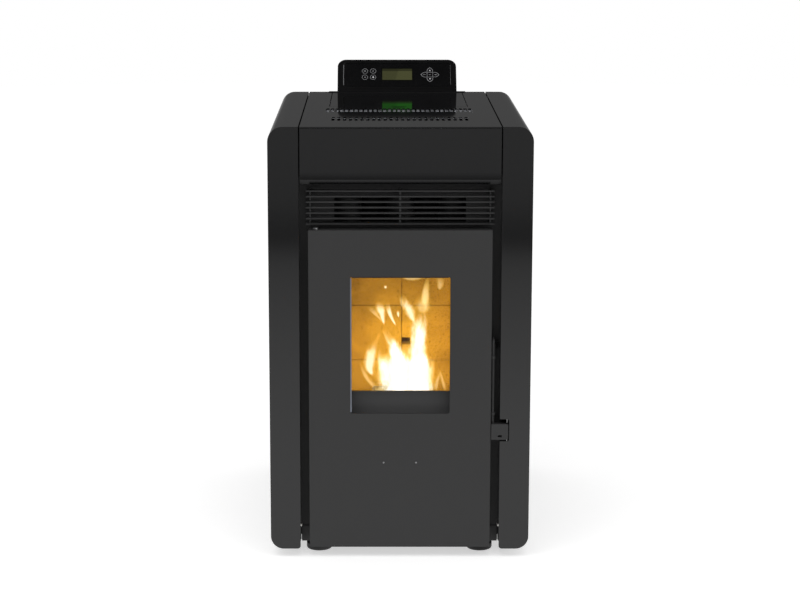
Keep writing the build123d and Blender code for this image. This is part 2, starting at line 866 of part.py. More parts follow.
lining_back = inside_back - fit_gap
lining_front = lining_back - tile
lining_half = inside_half - side_tile - 2 * fit_gap
tile_rows = (holder_z + holder_plate + fit_gap, *tile_joints, box_high - baffle_drop)
tile_cut = (lining_front - 1, lining_back + 1)
back_tiles = []
for low, high in zip(tile_rows, tile_rows[1:]):
    top = high - tile_joint
    left = block(-lining_half, tile_split_x - tile_joint, lining_front, lining_back, low, top)
    right = block(tile_split_x, lining_half, lining_front, lining_back, low, top)
    if high > chute_low:
        hole_half = chute_half + hole_gap
        hole = block(-hole_half, hole_half, *tile_cut, chute_low - hole_gap, chute_high + hole_gap)
        left -= hole
        right -= hole
    if low < port_z < high:
        port_low = port_z - port_height / 2
        port = rect(tile_split_x - 1, tile_split_x + port_width, port_low, port_low + port_height)
        right -= from_front(port, *tile_cut)
    if low < igniter_z < high:
        bore = from_front(disc(0, igniter_z, igniter_radius + hole_gap), *tile_cut)
        left -= bore
        right -= bore
    back_tiles += [left, right]
nodes["back_tiles"] = group(*back_tiles)

cheek_out = inside_half - fit_gap
cheek_top = tile_rows[-1] - tile_joint
cheek = block(cheek_out - side_tile, cheek_out, side_tile_front, lining_back, tile_rows[0], cheek_top)
nodes["side_tiles"] = group(cheek, mirrored(cheek))
nodes["baffle_plate"] = block(-cheek_out, cheek_out, baffle_front, lining_back, cheek_top, cheek_top + baffle)

pot_holder = block(-cheek_out, cheek_out, side_tile_front, lining_back, holder_z, holder_z + holder_plate)
pot_holder -= block(
    -pot_half + pot_draft / 2, pot_half - pot_draft / 2, pot_front + pot_draft / 2, pot_back - pot_draft / 2,
    holder_z - 1, holder_z + holder_plate + 1,
)
ash_slots = Sketch() + [
    Pos(x, depth) * SlotOverall(ash_slot_length, ash_slot_width)
    for x in spread(5, ash_slot_pitch)
    for depth in ash_slot_depths
]
nodes["pot_holder"] = pot_holder - from_above(ash_slots, holder_z - 1, holder_z + holder_plate + 1)


def pot_section(inset, z):
    """Rounded rectangle of the burn pot at one height."""
    lean = pot_draft * (pot_top - z) / (pot_top - pot_bottom)
    shrink = inset + lean
    width = 2 * (pot_half - shrink)
    length = pot_back - pot_front - 2 * shrink
    plane = Plane(origin=(0, y_front + pot_middle, z), x_dir=(1, 0, 0), z_dir=(0, 0, 1))
    return plane * RectangleRounded(width, length, pot_round - min(inset, pot_wall))


seat_z = holder_z + holder_plate
burn_pot = loft(Sketch() + [pot_section(0, pot_bottom), pot_section(0, pot_top)])
burn_pot += loft(Sketch() + [pot_section(-pot_rim, seat_z), pot_section(-pot_rim, seat_z + pot_wall)])
burn_pot -= loft(Sketch() + [pot_section(pot_wall, pot_bottom + pot_wall), pot_section(pot_wall, pot_top + 1)])
pot_holes = Sketch() + [
    disc(x, pot_middle + y, pot_hole) for x in spread(4, pot_grate_pitch) for y in spread(3, pot_grate_pitch)
]
burn_pot -= from_above(pot_holes, pot_bottom - 1, pot_bottom + pot_wall + 1)
side_holes = Sketch() + [disc(x, z, pot_hole) for x in spread(5, pot_hole_pitch) for z in pot_hole_rows]
burn_pot -= from_front(side_holes, pot_front - pot_rim, pot_middle)
burn_pot -= from_front(disc(0, igniter_z, igniter_radius + hole_gap), pot_middle, pot_back + pot_rim)
pot_floor = pot_bottom + pot_wall
pot_inset = pot_draft + pot_wall
pot_steps = (0, pot_front + pot_inset, pot_back - pot_inset, body_depth)
pot_walls = [between(burn_pot, *ends, pot_floor, body_top) for ends in zip(pot_steps, pot_steps[1:])]
nodes["burn_pot"] = group(between(burn_pot, 0, body_depth, 0, pot_floor), *pot_walls)

drawer_low = box_low + box_wall + drawer_play
drawer = block(-drawer_half, drawer_half, drawer_front, drawer_back, drawer_low, drawer_top)
drawer -= block(
    -drawer_half + drawer_wall, drawer_half - drawer_wall,
    drawer_front + drawer_wall, drawer_back - drawer_wall,
    drawer_low + drawer_wall, drawer_top + 1,
)
pull_z = (drawer_low + drawer_top) / 2
pull = rect(-pull_half, pull_half, drawer_front - pull_out, drawer_front)
pull -= rect(-pull_half + pull_rod, pull_half - pull_rod, drawer_front - pull_out + pull_rod, drawer_front)
drawer += from_above(pull, pull_z - pull_height / 2, pull_z + pull_height / 2)
nodes["ash_drawer"] = drawer

igniter = from_front(
    disc(0, igniter_z, igniter_radius), pot_back + pot_rim + igniter_gap, box_back + igniter_tail
)
igniter += from_front(disc(0, igniter_z, igniter_radius + igniter_flange), box_back, box_back + igniter_plate)
nodes["igniter"] = igniter

# ---------------------------------------------------------------- heat exchanger and smoke path
pipes = []
for x, depth in pipe_spots:
    ring = disc(x, depth, pipe_radius) - disc(x, depth, pipe_radius - pipe_wall)
    pipes.append(from_above(ring, box_high, collector_low))
nodes["exchanger_pipes"] = group(*pipes)

collector_face = rect(-collector_half, collector_half, collector_front, collector_back)
collector_room = rect(
    -collector_half + sheet, collector_half - sheet, collector_front + sheet, collector_back - sheet
)
collector = from_above(collector_face, collector_low, collector_high)
collector -= from_above(collector_room, collector_low + sheet, collector_high - sheet)
for x, depth in pipe_spots:
    pipe_bore = disc(x, depth, pipe_radius - pipe_wall)
    collector -= from_above(pipe_bore, collector_low - 1, collector_low + sheet + 1)
duct_port = (
    collector_back - port_front, collector_back - port_back,
    collector_low + port_margin, collector_high - port_margin,
)
collector -= block(-collector_half - 1, -collector_half + sheet + 1, *duct_port)
nodes["smoke_collector"] = collector

hood = Part()
for side in (-hood_half, hood_half - sheet):
    hood += block(side, side + sheet, plate_back, hood_back, box_high, collector_low - hood_gap)
hood += block(
    -hood_half, hood_half, hood_back, hood_back + sheet, box_high + hood_sill, collector_low - hood_gap
)
nodes["air_hood"] = hood



def duct_run(inset):
    """Side view of the fume duct: back over the firebox and down to the fan."""
    start = collector_front + duct_start + inset
    front = duct_front + inset
    back = duct_back - inset
    end = fan_z - duct_tail + inset
    low = collector_low + inset
    high = collector_high - inset
    return polygon((start, high), (back, high), (back, end), (front, end), (front, low), (start, low))


fume_duct = from_side(duct_run(0), duct_outer, duct_inner)
fume_duct -= from_side(duct_run(sheet), duct_outer + sheet, duct_inner - sheet)
fume_duct -= block(duct_inner - sheet - 1, duct_inner + 1, *duct_port)
fume_duct -= from_side(disc(fan_depth, fan_z, fan_eye), duct_inner - sheet - 1, duct_inner + 1)
nodes["fume_duct"] = fume_duct

outlet_bottom = fan_z
outlet_top = fan_z + fan_casing
volute = disc(fan_depth, fan_z, fan_casing) + rect(fan_depth, fan_outlet_depth, outlet_bottom, outlet_top)
volute_void = disc(fan_depth, fan_z, fan_casing - sheet)
volute_void += rect(fan_depth, fan_outlet_depth + 1, outlet_bottom + sheet, outlet_top - sheet)
fan_housing = from_side(volute, fan_left, fan_right)
fan_housing -= from_side(volute_void, fan_left + sheet, fan_right - sheet)
fan_housing -= from_side(disc(fan_depth, fan_z, fan_eye), fan_left - 1, fan_left + sheet + 1)
fan_housing -= from_side(disc(fan_depth, fan_z, fan_shaft + run_gap), fan_right - sheet - 1, fan_right + 1)
nodes["extractor_housing"] = fan_housing

blade_ring = Pos(impeller_eye + blade_shift, 0) * (Circle(blade_bow) - Circle(blade_bow - blade_sheet))
quarter = rect(0, fan_casing, 0, fan_casing)
blade_face = blade_ring & (Circle(impeller_radius) - Circle(impeller_eye)) & quarter
blade_set = Sketch() + [
    Rot(0, 0, step * 360 / impeller_blades) * blade_face for step in range(impeller_blades)
]
wheel_left = fan_left + sheet + wheel_gap
wheel_right = fan_right - sheet - wheel_gap
impeller = from_side(Pos(fan_depth, fan_z) * blade_set, wheel_left, wheel_right)
impeller += from_side(disc(fan_depth, fan_z, impeller_radius), wheel_right - impeller_plate, wheel_right)
impeller += from_side(disc(fan_depth, fan_z, impeller_hub), wheel_left + impeller_hub_start, wheel_right)
impeller += from_side(disc(fan_depth, fan_z, fan_shaft), wheel_right, fan_right + shaft_seat)
nodes["extractor_impeller"] = impeller

motor_end = fan_right + motor_length
extractor_motor = from_side(disc(fan_depth, fan_z, motor_radius), fan_right, motor_end)
motor_cap = disc(fan_depth, fan_z, motor_radius - motor_neck)
extractor_motor += from_side(motor_cap, motor_end, motor_end + motor_neck)
extractor_motor -= from_side(disc(fan_depth, fan_z, fan_shaft + run_gap), fan_right - 1, fan_right + shaft_room)
nodes["extractor_motor"] = extractor_motor

flue_end = body_depth + flue_reach
flue = from_front(disc(fan_x, flue_z, flue_radius), fan_outlet_depth, flue_end)
flue -= from_front(disc(fan_x, flue_z, flue_radius - flue_wall), fan_outlet_depth + sheet, flue_end + 1)
outlet_inset = sheet + outlet_rim
fan_outlet = rect(
    fan_left + outlet_inset, fan_right - outlet_inset, outlet_bottom + outlet_inset, outlet_top - outlet_inset
)
flue -= from_front(fan_outlet, fan_outlet_depth - 1, fan_outlet_depth + sheet + 1)
bead = disc(fan_x, flue_z, flue_radius + collar) - disc(fan_x, flue_z, flue_radius)
flue += from_front(bead, rear_face, rear_face + collar)
nodes["flue_pipe"] = flue

intake_front = box_back - box_wall
intake_bore = disc(intake_x, intake_z, intake_radius - flue_wall)
intake_tube = disc(intake_x, intake_z, intake_radius) - intake_bore
intake_bead = disc(intake_x, intake_z, intake_radius + collar) - intake_bore
air_intake = from_front(intake_tube, intake_front, body_depth + intake_reach)
air_intake += from_front(intake_bead, rear_face, rear_face + collar)
nodes["air_intake"] = air_intake

# ---------------------------------------------------------------- room air fan
blower_box = round_rect(
    blower_depth - blower_reach, blower_depth + blower_reach, tray_floor + sheet, blower_z + blower_reach,
    blower_round,
)
shaft_hole = disc(blower_depth, blower_z, fan_shaft + run_gap)
scroll = disc(blower_depth, blower_z, scroll_radius + sheet) - disc(blower_depth, blower_z, scroll_radius)
scroll -= Pos(blower_depth, blower_z) * polygon((0, 0), (-90, 30), (-60, 90), (20, 90))
scroll -= Pos(blower_depth, blower_z) * polygon((0, 0), (90, -40), (50, -90), (-20, -90))
blower = from_side(scroll, blower_left + sheet, blower_right - sheet)
blower += from_side(blower_box - shaft_hole, blower_left, blower_left + sheet)
blower += from_side(blower_box - shaft_hole, blower_right - sheet, blower_right)
nodes["blower_housing"] = blower

rotor_left = blower_left + sheet + rotor_gap
rotor_right = blower_right - sheet - rotor_gap
vane = Rot(0, 0, 90 - blade_pitch_angle) * Rectangle(blade_chord, blade_thick)
vane = Pos(rotor_radius - blade_chord / 2 - blade_inset, 0) * vane
vanes = Sketch() + [Rot(0, 0, step * 360 / rotor_blades) * vane for step in range(rotor_blades)]
rotor = from_side(Pos(blower_depth, blower_z) * vanes, rotor_left, rotor_right)
for x in (rotor_left, (rotor_left + rotor_right) / 2, rotor_right - rotor_disc):
    rotor += from_side(disc(blower_depth, blower_z, rotor_radius), x, x + rotor_disc)
rotor += from_side(disc(blower_depth, blower_z, fan_shaft), blower_left, blower_right + shaft_seat)
nodes["blower_rotor"] = rotor

blower_motor_face = disc(blower_depth, blower_z, blower_motor_radius)
blower_motor = from_side(blower_motor_face, blower_right, blower_right + blower_motor_length)
blower_motor -= from_side(shaft_hole, blower_right - 1, blower_right + shaft_room)
nodes["blower_motor"] = blower_motor

# ---------------------------------------------------------------- pellet feed
lean = radians(auger_angle)
auger_plane = Plane(
    origin=(0, y_front + auger_low_depth, auger_low_z), x_dir=(1, 0, 0), z_dir=(0, -cos(lean), sin(lean))
)


def along_auger(radius, start, end):
    """A cylinder on the auger's axis."""
    return auger_plane * (Pos(0, 0, (start + end) / 2) * Cylinder(radius, end - start))


def axis_height(depth):
    """Height of the auger's axis at a depth."""
    return auger_low_z + (auger_low_depth - depth) * tan(lean)


inlet_middle = axis_height((inlet_front + inlet_back) / 2)
drop_middle = axis_height((drop_front + drop_back) / 2)
auger_tube = along_auger(auger_tube_radius, 0, auger_length)
neck_outer = neck_half + sheet
auger_tube += block(-neck_outer, neck_outer, inlet_front - sheet, inlet_back + sheet, inlet_middle, inlet_top)
auger_tube += block(-neck_half, neck_half, drop_front - sheet, drop_back + sheet, drop_bottom, drop_middle)
flange_size = gearbox + 2 * gear_flange
auger_tube += auger_plane * (Pos(0, 0, auger_cap / 2) * Box(flange_size, flange_size, auger_cap))
auger_tube -= along_auger(auger_tube_radius - auger_wall, auger_cap, auger_length - auger_cap)
auger_tube -= block(-neck_half, neck_half, inlet_front, inlet_back, inlet_middle, inlet_top + 1)
auger_tube -= block(-neck_half + sheet, neck_half - sheet, drop_front, drop_back, drop_bottom - 1, drop_middle)
auger_tube -= along_auger(screw_shaft + run_gap, -1, auger_length + 1)
neck_low = inlet_top - neck_height
neck_front, neck_back = inlet_front - sheet, inlet_back + sheet
neck_walls = [
    between(auger_tube, *ends, neck_low, inlet_top)
    for ends in ((neck_front, inlet_front), (inlet_front, inlet_back), (inlet_back, neck_back))
]
auger_tube -= block(-neck_outer, neck_outer, neck_front, neck_back, neck_low, inlet_top + 1)
nodes["auger_tube"] = group(auger_tube, *neck_walls)

flight_start = screw_ends[0]
flight_end = auger_length - screw_ends[1]
root_radius = screw_shaft - 1
flight_middle = (screw_radius + root_radius) / 2
screw_path = Pos(0, 0, flight_start) * Helix(screw_pitch, flight_end - flight_start, flight_middle)
flight_section = (
    Plane(origin=(flight_middle, 0, flight_start), x_dir=(1, 0, 0), z_dir=(0, 1, 0))
    * Rectangle(screw_radius - root_radius, flight)
)
screw = sweep(flight_section, path=screw_path, is_frenet=True)
shaft_length = auger_length - screw_nose + screw_tail
screw += Pos(0, 0, shaft_length / 2 - screw_tail) * Cylinder(screw_shaft, shaft_length)
nodes["auger_screw"] = auger_plane * screw

auger_motor = auger_plane * (Pos(0, 0, -gearbox_length / 2) * Box(gearbox, gearbox, gearbox_length))
auger_motor += along_auger(auger_motor_radius, -gearbox_length - auger_motor_length, -gearbox_length)
auger_motor -= along_auger(screw_shaft + run_gap, -screw_tail - screw_nose, 1)
nodes["auger_motor"] = auger_motor

chute_outer = polygon(
    (drop_back + sheet, drop_bottom), (drop_back + sheet, drop_bottom - chute_knee),
    (box_back, chute_low - sheet),
    (box_back, chute_high + sheet), (drop_front - sheet, chute_high + sheet), (drop_front - sheet, drop_bottom),
)
chute_void = polygon(
    (drop_back, drop_bottom + 1), (drop_back, drop_bottom - chute_knee + 1), (box_back - 1, chute_low),
    (box_back - 1, chute_high), (drop_front, chute_high), (drop_front, drop_bottom + 1),
)
chute = from_side(chute_outer, -neck_half, neck_half) - from_side(chute_void, -chute_half, chute_half)
nodes["pellet_chute"] = chute


def funnel_side(top, foot):
    """One sloping side of the funnel, between its edge under the bin and its edge on the auger's inlet."""
    faces = []
    for z, outline in ((inlet_top, foot), (hopper_waist, top)):
        faces.append(Plane(origin=(0, y_front, z), x_dir=(1, 0, 0), z_dir=(0, 0, 1)) * rect(*outline))
    return loft(Sketch() + faces, ruled=True)


def hopper():
    """Folded sheet: four bin walls, four funnel sides, four flange strips on the chassis, and a lip."""
    bin_inner = hopper_half - sheet
    front_edge = (hopper_front, hopper_front + sheet)
    back_edge = (hopper_back - sheet, hopper_back)
    side_wall = block(bin_inner, hopper_half, hopper_front, hopper_back, hopper_waist, hopper_rim)
    front_wall = block(-bin_inner, bin_inner, *front_edge, hopper_waist, hopper_rim)
    back_wall = block(-bin_inner, bin_inner, *back_edge, hopper_waist, hopper_rim)
    side_slope = funnel_side(
        (bin_inner, hopper_half, hopper_front, hopper_back),
        (neck_half, neck_outer, inlet_front - sheet, inlet_back + sheet),
    )
    front_slope = funnel_side(
        (-bin_inner, bin_inner, *front_edge), (-neck_half, neck_half, inlet_front - sheet, inlet_front)
    )
    back_slope = funnel_side(
        (-bin_inner, bin_inner, *back_edge), (-neck_half, neck_half, inlet_back, inlet_back + sheet)
    )
    flange_half = frame_face - sheet
    flange_levels = (flange_z, flange_z + sheet)
    front_flange = block(-flange_half, flange_half, flange_front, hopper_front, *flange_levels)
    back_flange = block(-flange_half, flange_half, hopper_back, rear_inner - sheet, *flange_levels)
    side_flange = block(hopper_half, flange_half, hopper_front, hopper_back, *flange_levels)
    flange = (front_flange, back_flange, side_flange, mirrored(side_flange))
    lip_half = flange_half - 2 * sheet
    lip = block(-lip_half, lip_half, flange_front, flange_front + sheet, flange_z + sheet, under_top - fit_gap)
    bin_walls = (side_wall, mirrored(side_wall), front_wall, back_wall)
    funnel = (side_slope, mirrored(side_slope), front_slope, back_slope)
    return group(*bin_walls, *funnel, *flange, lip)


nodes["hopper"] = hopper()

seal_back = hopper_back - hopper_seal_back
seal_ring = rect(-hopper_half, hopper_half, hopper_front, seal_back)
seal_ring -= rect(
    -hopper_half + hopper_seal_width, hopper_half - hopper_seal_width,
    hopper_front + hopper_seal_width, seal_back - hopper_seal_width,
)
nodes["hopper_seal"] = from_above(seal_ring, hopper_rim, under_top - fit_gap)

share = (guard_z - inlet_top) / (hopper_waist - inlet_top)
guard_half = neck_half + share * (hopper_half - neck_half - sheet) - guard_gap
guard_front = inlet_front + share * (hopper_front + sheet - inlet_front) + guard_gap
guard_back = inlet_back + share * (hopper_back - sheet - inlet_back) - guard_gap
guard = [
    from_front(disc(x, guard_z, guard_radius), guard_front, guard_back)
    for x in spread(guard_bars, 2 * guard_half / (guard_bars - 1) * guard_fill)
]
for depth in (guard_front + guard_end, guard_back - guard_end):
    guard.append(from_side(disc(depth, guard_z + 2 * guard_radius, guard_radius), -guard_half, guard_half))
nodes["hopper_guard"] = group(*guard)

# ---------------------------------------------------------------- control panel
tilt = radians(panel_lean)
panel_front = body_depth + panel_rear_gap
panel_back = body_depth + flue_reach
face_plane = Plane(
    origin=(0, y_front + panel_front, body_top), x_dir=(1, 0, 0), z_dir=(0, -cos(tilt), sin(tilt))
)
slope = (panel_top - body_top) / cos(tilt)
panel_outline = rect(-panel_half, panel_half, -panel_round, slope)
panel_outline = round_corner(panel_outline, -panel_half, slope, panel_round)
panel_outline = round_corner(panel_outline, panel_half, slope, panel_round)
wedge = polygon(
    (panel_front, panel_low), (panel_front, body_top), (panel_front + slope * sin(tilt), panel_top),
    (panel_back, panel_top), (panel_back, panel_top - panel_edge), (panel_front + panel_foot, panel_neck),
    (panel_front + panel_foot, panel_low),
)
face_block = extrude(face_plane * panel_outline, amount=-(panel_back - panel_front))
foot_block = block(-panel_half, panel_half, panel_front, panel_back, panel_low, body_top)
housing = from_side(wedge, -panel_half, panel_half) & (face_block + foot_block)
keypad_face = round_rect(-keypad_half, keypad_half, keypad_low, keypad_high, keypad_round)
screen_face = rect(-screen_half, screen_half, screen_low, screen_high)
housing -= extrude(face_plane * offset(keypad_face, fit_gap), amount=-keypad_recess)
for x in (-boss_x, boss_x):
    housing += from_front(disc(x, boss_z, boss_size), rear_face, panel_front)
    housing -= from_front(disc(x, boss_z, boss_hole), rear_face - 1, panel_front + boss_hole_depth)
nodes["control_housing"] = housing

keypad_plane = face_plane.offset(-keypad_recess)
keypad = extrude(keypad_plane * (keypad_face - offset(screen_face, fit_gap)), amount=keypad_thick)
nodes["control_panel"] = keypad
nodes["display_screen"] = extrude(keypad_plane * screen_face, amount=keypad_thick - screen_set_back)

board = block(board_x, board_x + board_thick, board_front, board_back, board_low, board_high)
for depth in (board_front + stud_inset, board_back - stud_inset):
    for z in (board_low + stud_inset, board_high - stud_inset):
        board += from_side(disc(depth, z, stud_size), board_x, frame_face - sheet)


def on_board(reach, start, length, sill, height):
    """A block soldered on the board, placed from the board's front lower corner."""
    front = board_front + start
    low = board_low + sill
    return block(board_x - reach, board_x, front, front + length, low, low + height)


board += on_board(*transformer)
board += on_board(*plug_strip)
for index in range(relay_count):
    reach, first, *size = relay
    board += on_board(reach, first + index * relay_pitch, *size)
nodes["control_board"] = board

inlet_face = rear_face + inlet_plate
inlet_spot = Pos(inlet_x, inlet_z)
inlet_body = Rectangle(2 * (inlet_body_half - fit_gap), 2 * (inlet_body_rise - fit_gap))
power_inlet = from_front(
    inlet_spot * RectangleRounded(inlet_width, inlet_height, inlet_round), rear_face, inlet_face
)
power_inlet += from_front(inlet_spot * inlet_body, rear_face - inlet_depth, rear_face)
socket_floor = inlet_face - socket_depth
socket_face = Pos(socket_x, inlet_z) * Rectangle(socket_width, socket_height)
power_inlet -= from_front(socket_face, socket_floor, inlet_face + 1)
for x, z in socket_pins:
    pin_face = Pos(socket_x + x, inlet_z + z) * Rectangle(2 * socket_pin[0], 2 * socket_pin[1])
    power_inlet += from_front(pin_face, socket_floor, inlet_face - pin_recess)
switch_well = Rectangle(2 * (switch_half + fit_gap), 2 * (switch_reach + switch_room))
power_inlet -= from_front(Pos(switch_x, inlet_z) * switch_well, socket_floor, inlet_face + 1)
nodes["power_inlet"] = power_inlet

switch_axis = inlet_face - switch_radius + switch_proud
root_depth, root_half = switch_root
rocker_face = polygon(
    (-root_depth, -root_half), (switch_radius, -switch_reach), (switch_radius - switch_dip, 0),
    (switch_radius, switch_reach), (-root_depth, root_half),
)
rocker_face = Pos(switch_axis, inlet_z) * Rot(0, 0, switch_tilt) * rocker_face
nodes["power_switch"] = from_side(rocker_face, switch_x - switch_half, switch_x + switch_half)

# ---------------------------------------------------------------- door
door_outline = round_rect(-door_half, door_half, door_low, door_high, door_round)
window_outline = round_rect(-window_half, window_half, window_low, window_high, window_round)
door_panel = from_front(door_outline, 0, door_edge)
door_panel -= block(
    -door_half + sheet, door_half - sheet, sheet, door_edge + 1, door_low + sheet, door_high - sheet
)
door_panel -= from_front(window_outline, -1, door_edge)
for z in (bracket_low, bracket_high):
    door_panel -= block(
        -door_half - 1, -door_half + sheet + 1, sheet, door_edge + 1,
        z - bracket_room, z + bracket_plate + bracket_room,
    )
bracket_top = bracket_high + bracket_plate
hinge_hole = disc(hinge_x, door_axis_depth, pin_radius + run_gap)
door_panel += from_above(
    disc(hinge_x, door_axis_depth, knuckle_radius), bracket_top + door_play, door_high - sheet
)
door_panel -= from_above(hinge_hole, bracket_top, door_high + 1)
door_panel -= from_above(hinge_hole, door_low - 1, door_low + sheet + 1)
for z in lug_heights:
    lug = rect(door_half, rod_x, rod_depth - rod_radius, rod_depth + rod_radius + lug_wall)
    lug += disc(rod_x, rod_depth, rod_radius + lug_wall)
    lug -= disc(rod_x, rod_depth, rod_radius + run_gap)
    door_panel += from_above(lug, z, z + lug_plate)
nodes["door_panel"] = door_panel

inner_back = inner_front + inner_plate
frame_outline = round_rect(-inner_half, inner_half, inner_low, inner_high, inner_round)
sight_outline = round_rect(-sight_half, sight_half, sight_low, sight_high, sight_round)
inner_frame = from_front(frame_outline, inner_front, inner_back)
inner_frame -= from_front(sight_outline, 0, body_depth)
inner_frame += from_front(round_rect(-pan_half, pan_half, pan_low, pan_high, pan_round), pan_front, inner_front)
pan_void = round_rect(
    -pan_half + sheet, pan_half - sheet, pan_low + sheet, pan_high - sheet, pan_round - sheet
)
inner_frame -= from_front(pan_void, pan_front + sheet, body_depth)
for x in (-inner_half + spacer_side, inner_half - spacer_side):
    for z in (inner_low + spacer_end, (inner_low + inner_high) / 2, inner_high - spacer_end):
        inner_frame += from_front(disc(x, z, spacer_radius), sheet, inner_front)
nodes["door_frame"] = inner_frame

glass_half = sight_half + glass_margin
glass_low = sight_low - glass_margin
glass_high = sight_high + glass_margin
glass_front = inner_back + glass_seal_thick
glass_face = round_rect(-glass_half, glass_half, glass_low, glass_high, glass_round)
nodes["glass_seal"] = from_front(glass_face - sight_outline, inner_back, glass_front)
nodes["door_glass"] = from_front(glass_face, glass_front, glass_front + glass)

clips = []
glass_back = glass_front + glass
for z in (glass_low + clip_inset, glass_high - clip_inset):
    clip = block(
        glass_half + fit_gap, glass_half + clip_foot, inner_back, glass_back, z - clip_half, z + clip_half
    )
    clip += block(
        glass_half - clip_tongue, glass_half + clip_foot, glass_back, glass_back + clip_plate,
        z - clip_half, z + clip_half,
    )
    clips += [clip, mirrored(clip)]
nodes["glass_clips"] = group(*clips)

rope_out = inner_half - rope_inset
rope_in = rope_out - rope_width
rope_low = inner_low + rope_inset
rope_high = inner_high - rope_inset
rope_face = round_rect(-rope_out, rope_out, rope_low, rope_high, rope_round)
rope_face -= round_rect(
    -rope_in, rope_in, rope_low + rope_width, rope_high - rope_width, rope_round - rope_width
)
rope = from_front(rope_face, inner_back, chassis_depth - fit_gap)
nodes["door_seal"] = rope

rivet_heads = []
for x in (-rivet_x, rivet_x):
    head = from_front(disc(x, rivet_z, rivet_radius), -rivet_head, 0)
    rivet_heads.append(fillet(head.edges().group_by(Axis.Y)[0], rivet_round))
nodes["door_rivets"] = group(*rivet_heads)

# ---------------------------------------------------------------- door hinge
brackets = []
for z, seat in ((bracket_low, chassis_depth - sheet), (bracket_high, chassis_depth)):
    arm = rect(hinge_x - arm_left, hinge_x + arm_right, door_axis_depth, seat)
    arm += disc(hinge_x, door_axis_depth, boss_radius)
    bracket = from_above(arm - disc(hinge_x, door_axis_depth, pin_radius), z, z + bracket_plate)
    bracket += block(
        hinge_x - arm_left, hinge_x + arm_right, seat - bracket_foot, seat,
        z - bracket_flange, z + bracket_plate + bracket_flange,
    )
    brackets.append(bracket)
pin_face = disc(hinge_x, door_axis_depth, pin_radius)
pin_head_face = disc(hinge_x, door_axis_depth, pin_head_radius)
pin_upper = from_above(pin_face, bracket_high, door_high + pin_head)
pin_upper += from_above(pin_head_face, door_high + pin_head_play, door_high + pin_head)
pin_lower = from_above(pin_face, door_low + pin_recess_low, bracket_low + bracket_plate + pin_tail)
nodes["hinge_upper"] = brackets[1] + pin_upper
nodes["hinge_lower"] = brackets[0] + pin_lower

# ---------------------------------------------------------------- latch


def ring_sector(inner, outer, start, end):
    """Part of a flat ring about the latch rod, between two angles."""
    reach = 2 * outer
    middle = (start + end) / 2
    wedge = polygon(
        (0, 0),
        (reach * cos(radians(start)), reach * sin(radians(start))),
        (reach * cos(radians(middle)), reach * sin(radians(middle))),
        (reach * cos(radians(end)), reach * sin(radians(end))),
    )
    return Pos(rod_x, rod_depth) * ((Circle(outer) - Circle(inner)) & wedge)


def grip():
    """Flat grip with a short slot, welded to the foot of the rod."""
    plate = block(rod_x - rod_radius, grip_right, -grip_proud, grip_back, grip_low, grip_high)
    plate = fillet(plate.edges().filter_by(Axis.Y).group_by(Axis.X)[-1], grip_round)
    slot_x = (rod_x + grip_right) / 2 - grip_slot_shift
    slot = Pos(slot_x, grip_low + grip_slot_z) * SlotOverall(grip_slot, grip_slot_height)
    return plate - from_front(slot, -grip_proud - 1, grip_back + 1)


def rod():
    """Round rod from the grip to its tapered tip."""
    shaft = from_above(disc(rod_x, rod_depth, rod_radius), grip_high, rod_high)
    tip_plane = Plane(origin=(rod_x, y_front + rod_depth, rod_high), z_dir=(0, 0, 1))
    return shaft + extrude(tip_plane * Circle(rod_radius), amount=rod_tip, taper=rod_taper)


cam_arm = from_above(ring_sector(rod_radius, cam_inner, *cam_arm_angles), cam_low, cam_high)
cam_toe = from_above(ring_sector(cam_inner, cam_outer, cam_arm_angles[0], cam_toe_angle), cam_low, cam_high)
nodes["door_handle"] = group(grip(), rod(), cam_arm, cam_toe)

keeper_pin = from_above(disc(keeper_x, keeper_depth, keeper_radius), keeper_low, keeper_high)
keeper_tabs = [
    block(
        keeper_x - keeper_tab_half, keeper_x + keeper_tab_half,
        keeper_depth - keeper_radius - keeper_tab_nose, chassis_depth, z, z + keeper_tab,
    )
    for z in (keeper_low - keeper_tab, keeper_high)
]
nodes["latch_keeper"] = group(keeper_pin, *keeper_tabs)

# ---------------------------------------------------------------- feet
foot_names = ("foot_front_left", "foot_back_left", "foot_front_right", "foot_back_right")
for name, (x, depth) in zip(foot_names, foot_spots):
    pad = from_above(disc(x, depth, foot_radius), 0, foot_height)
    pad = fillet(pad.edges().group_by(Axis.Z)[0], foot_round)
    pad += from_above(disc(x, depth, foot_radius / 2), foot_height, tray_floor - lock_nut)
    pad += from_above(disc(x, depth, stud_radius), tray_floor - lock_nut, stud_top)
    pad += from_above(Pos(x, depth) * RegularPolygon(nut_radius, 6), tray_floor - lock_nut, tray_floor)
    nodes[name] = pad

# ---------------------------------------------------------------- files
os.makedirs("parts", exist_ok=True)
for name, shape in nodes.items():
    shape.label = name
    export_step(shape, f"parts/{name}.step")
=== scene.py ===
"""Finishes, fire, small fittings and studio of a free-standing pellet stove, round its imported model."""
import math
import random

import bmesh
import bpy
from bpy.props import FloatProperty, FloatVectorProperty, PointerProperty
from bpy.types import Operator, Panel, PropertyGroup
from mathutils import Matrix, Vector


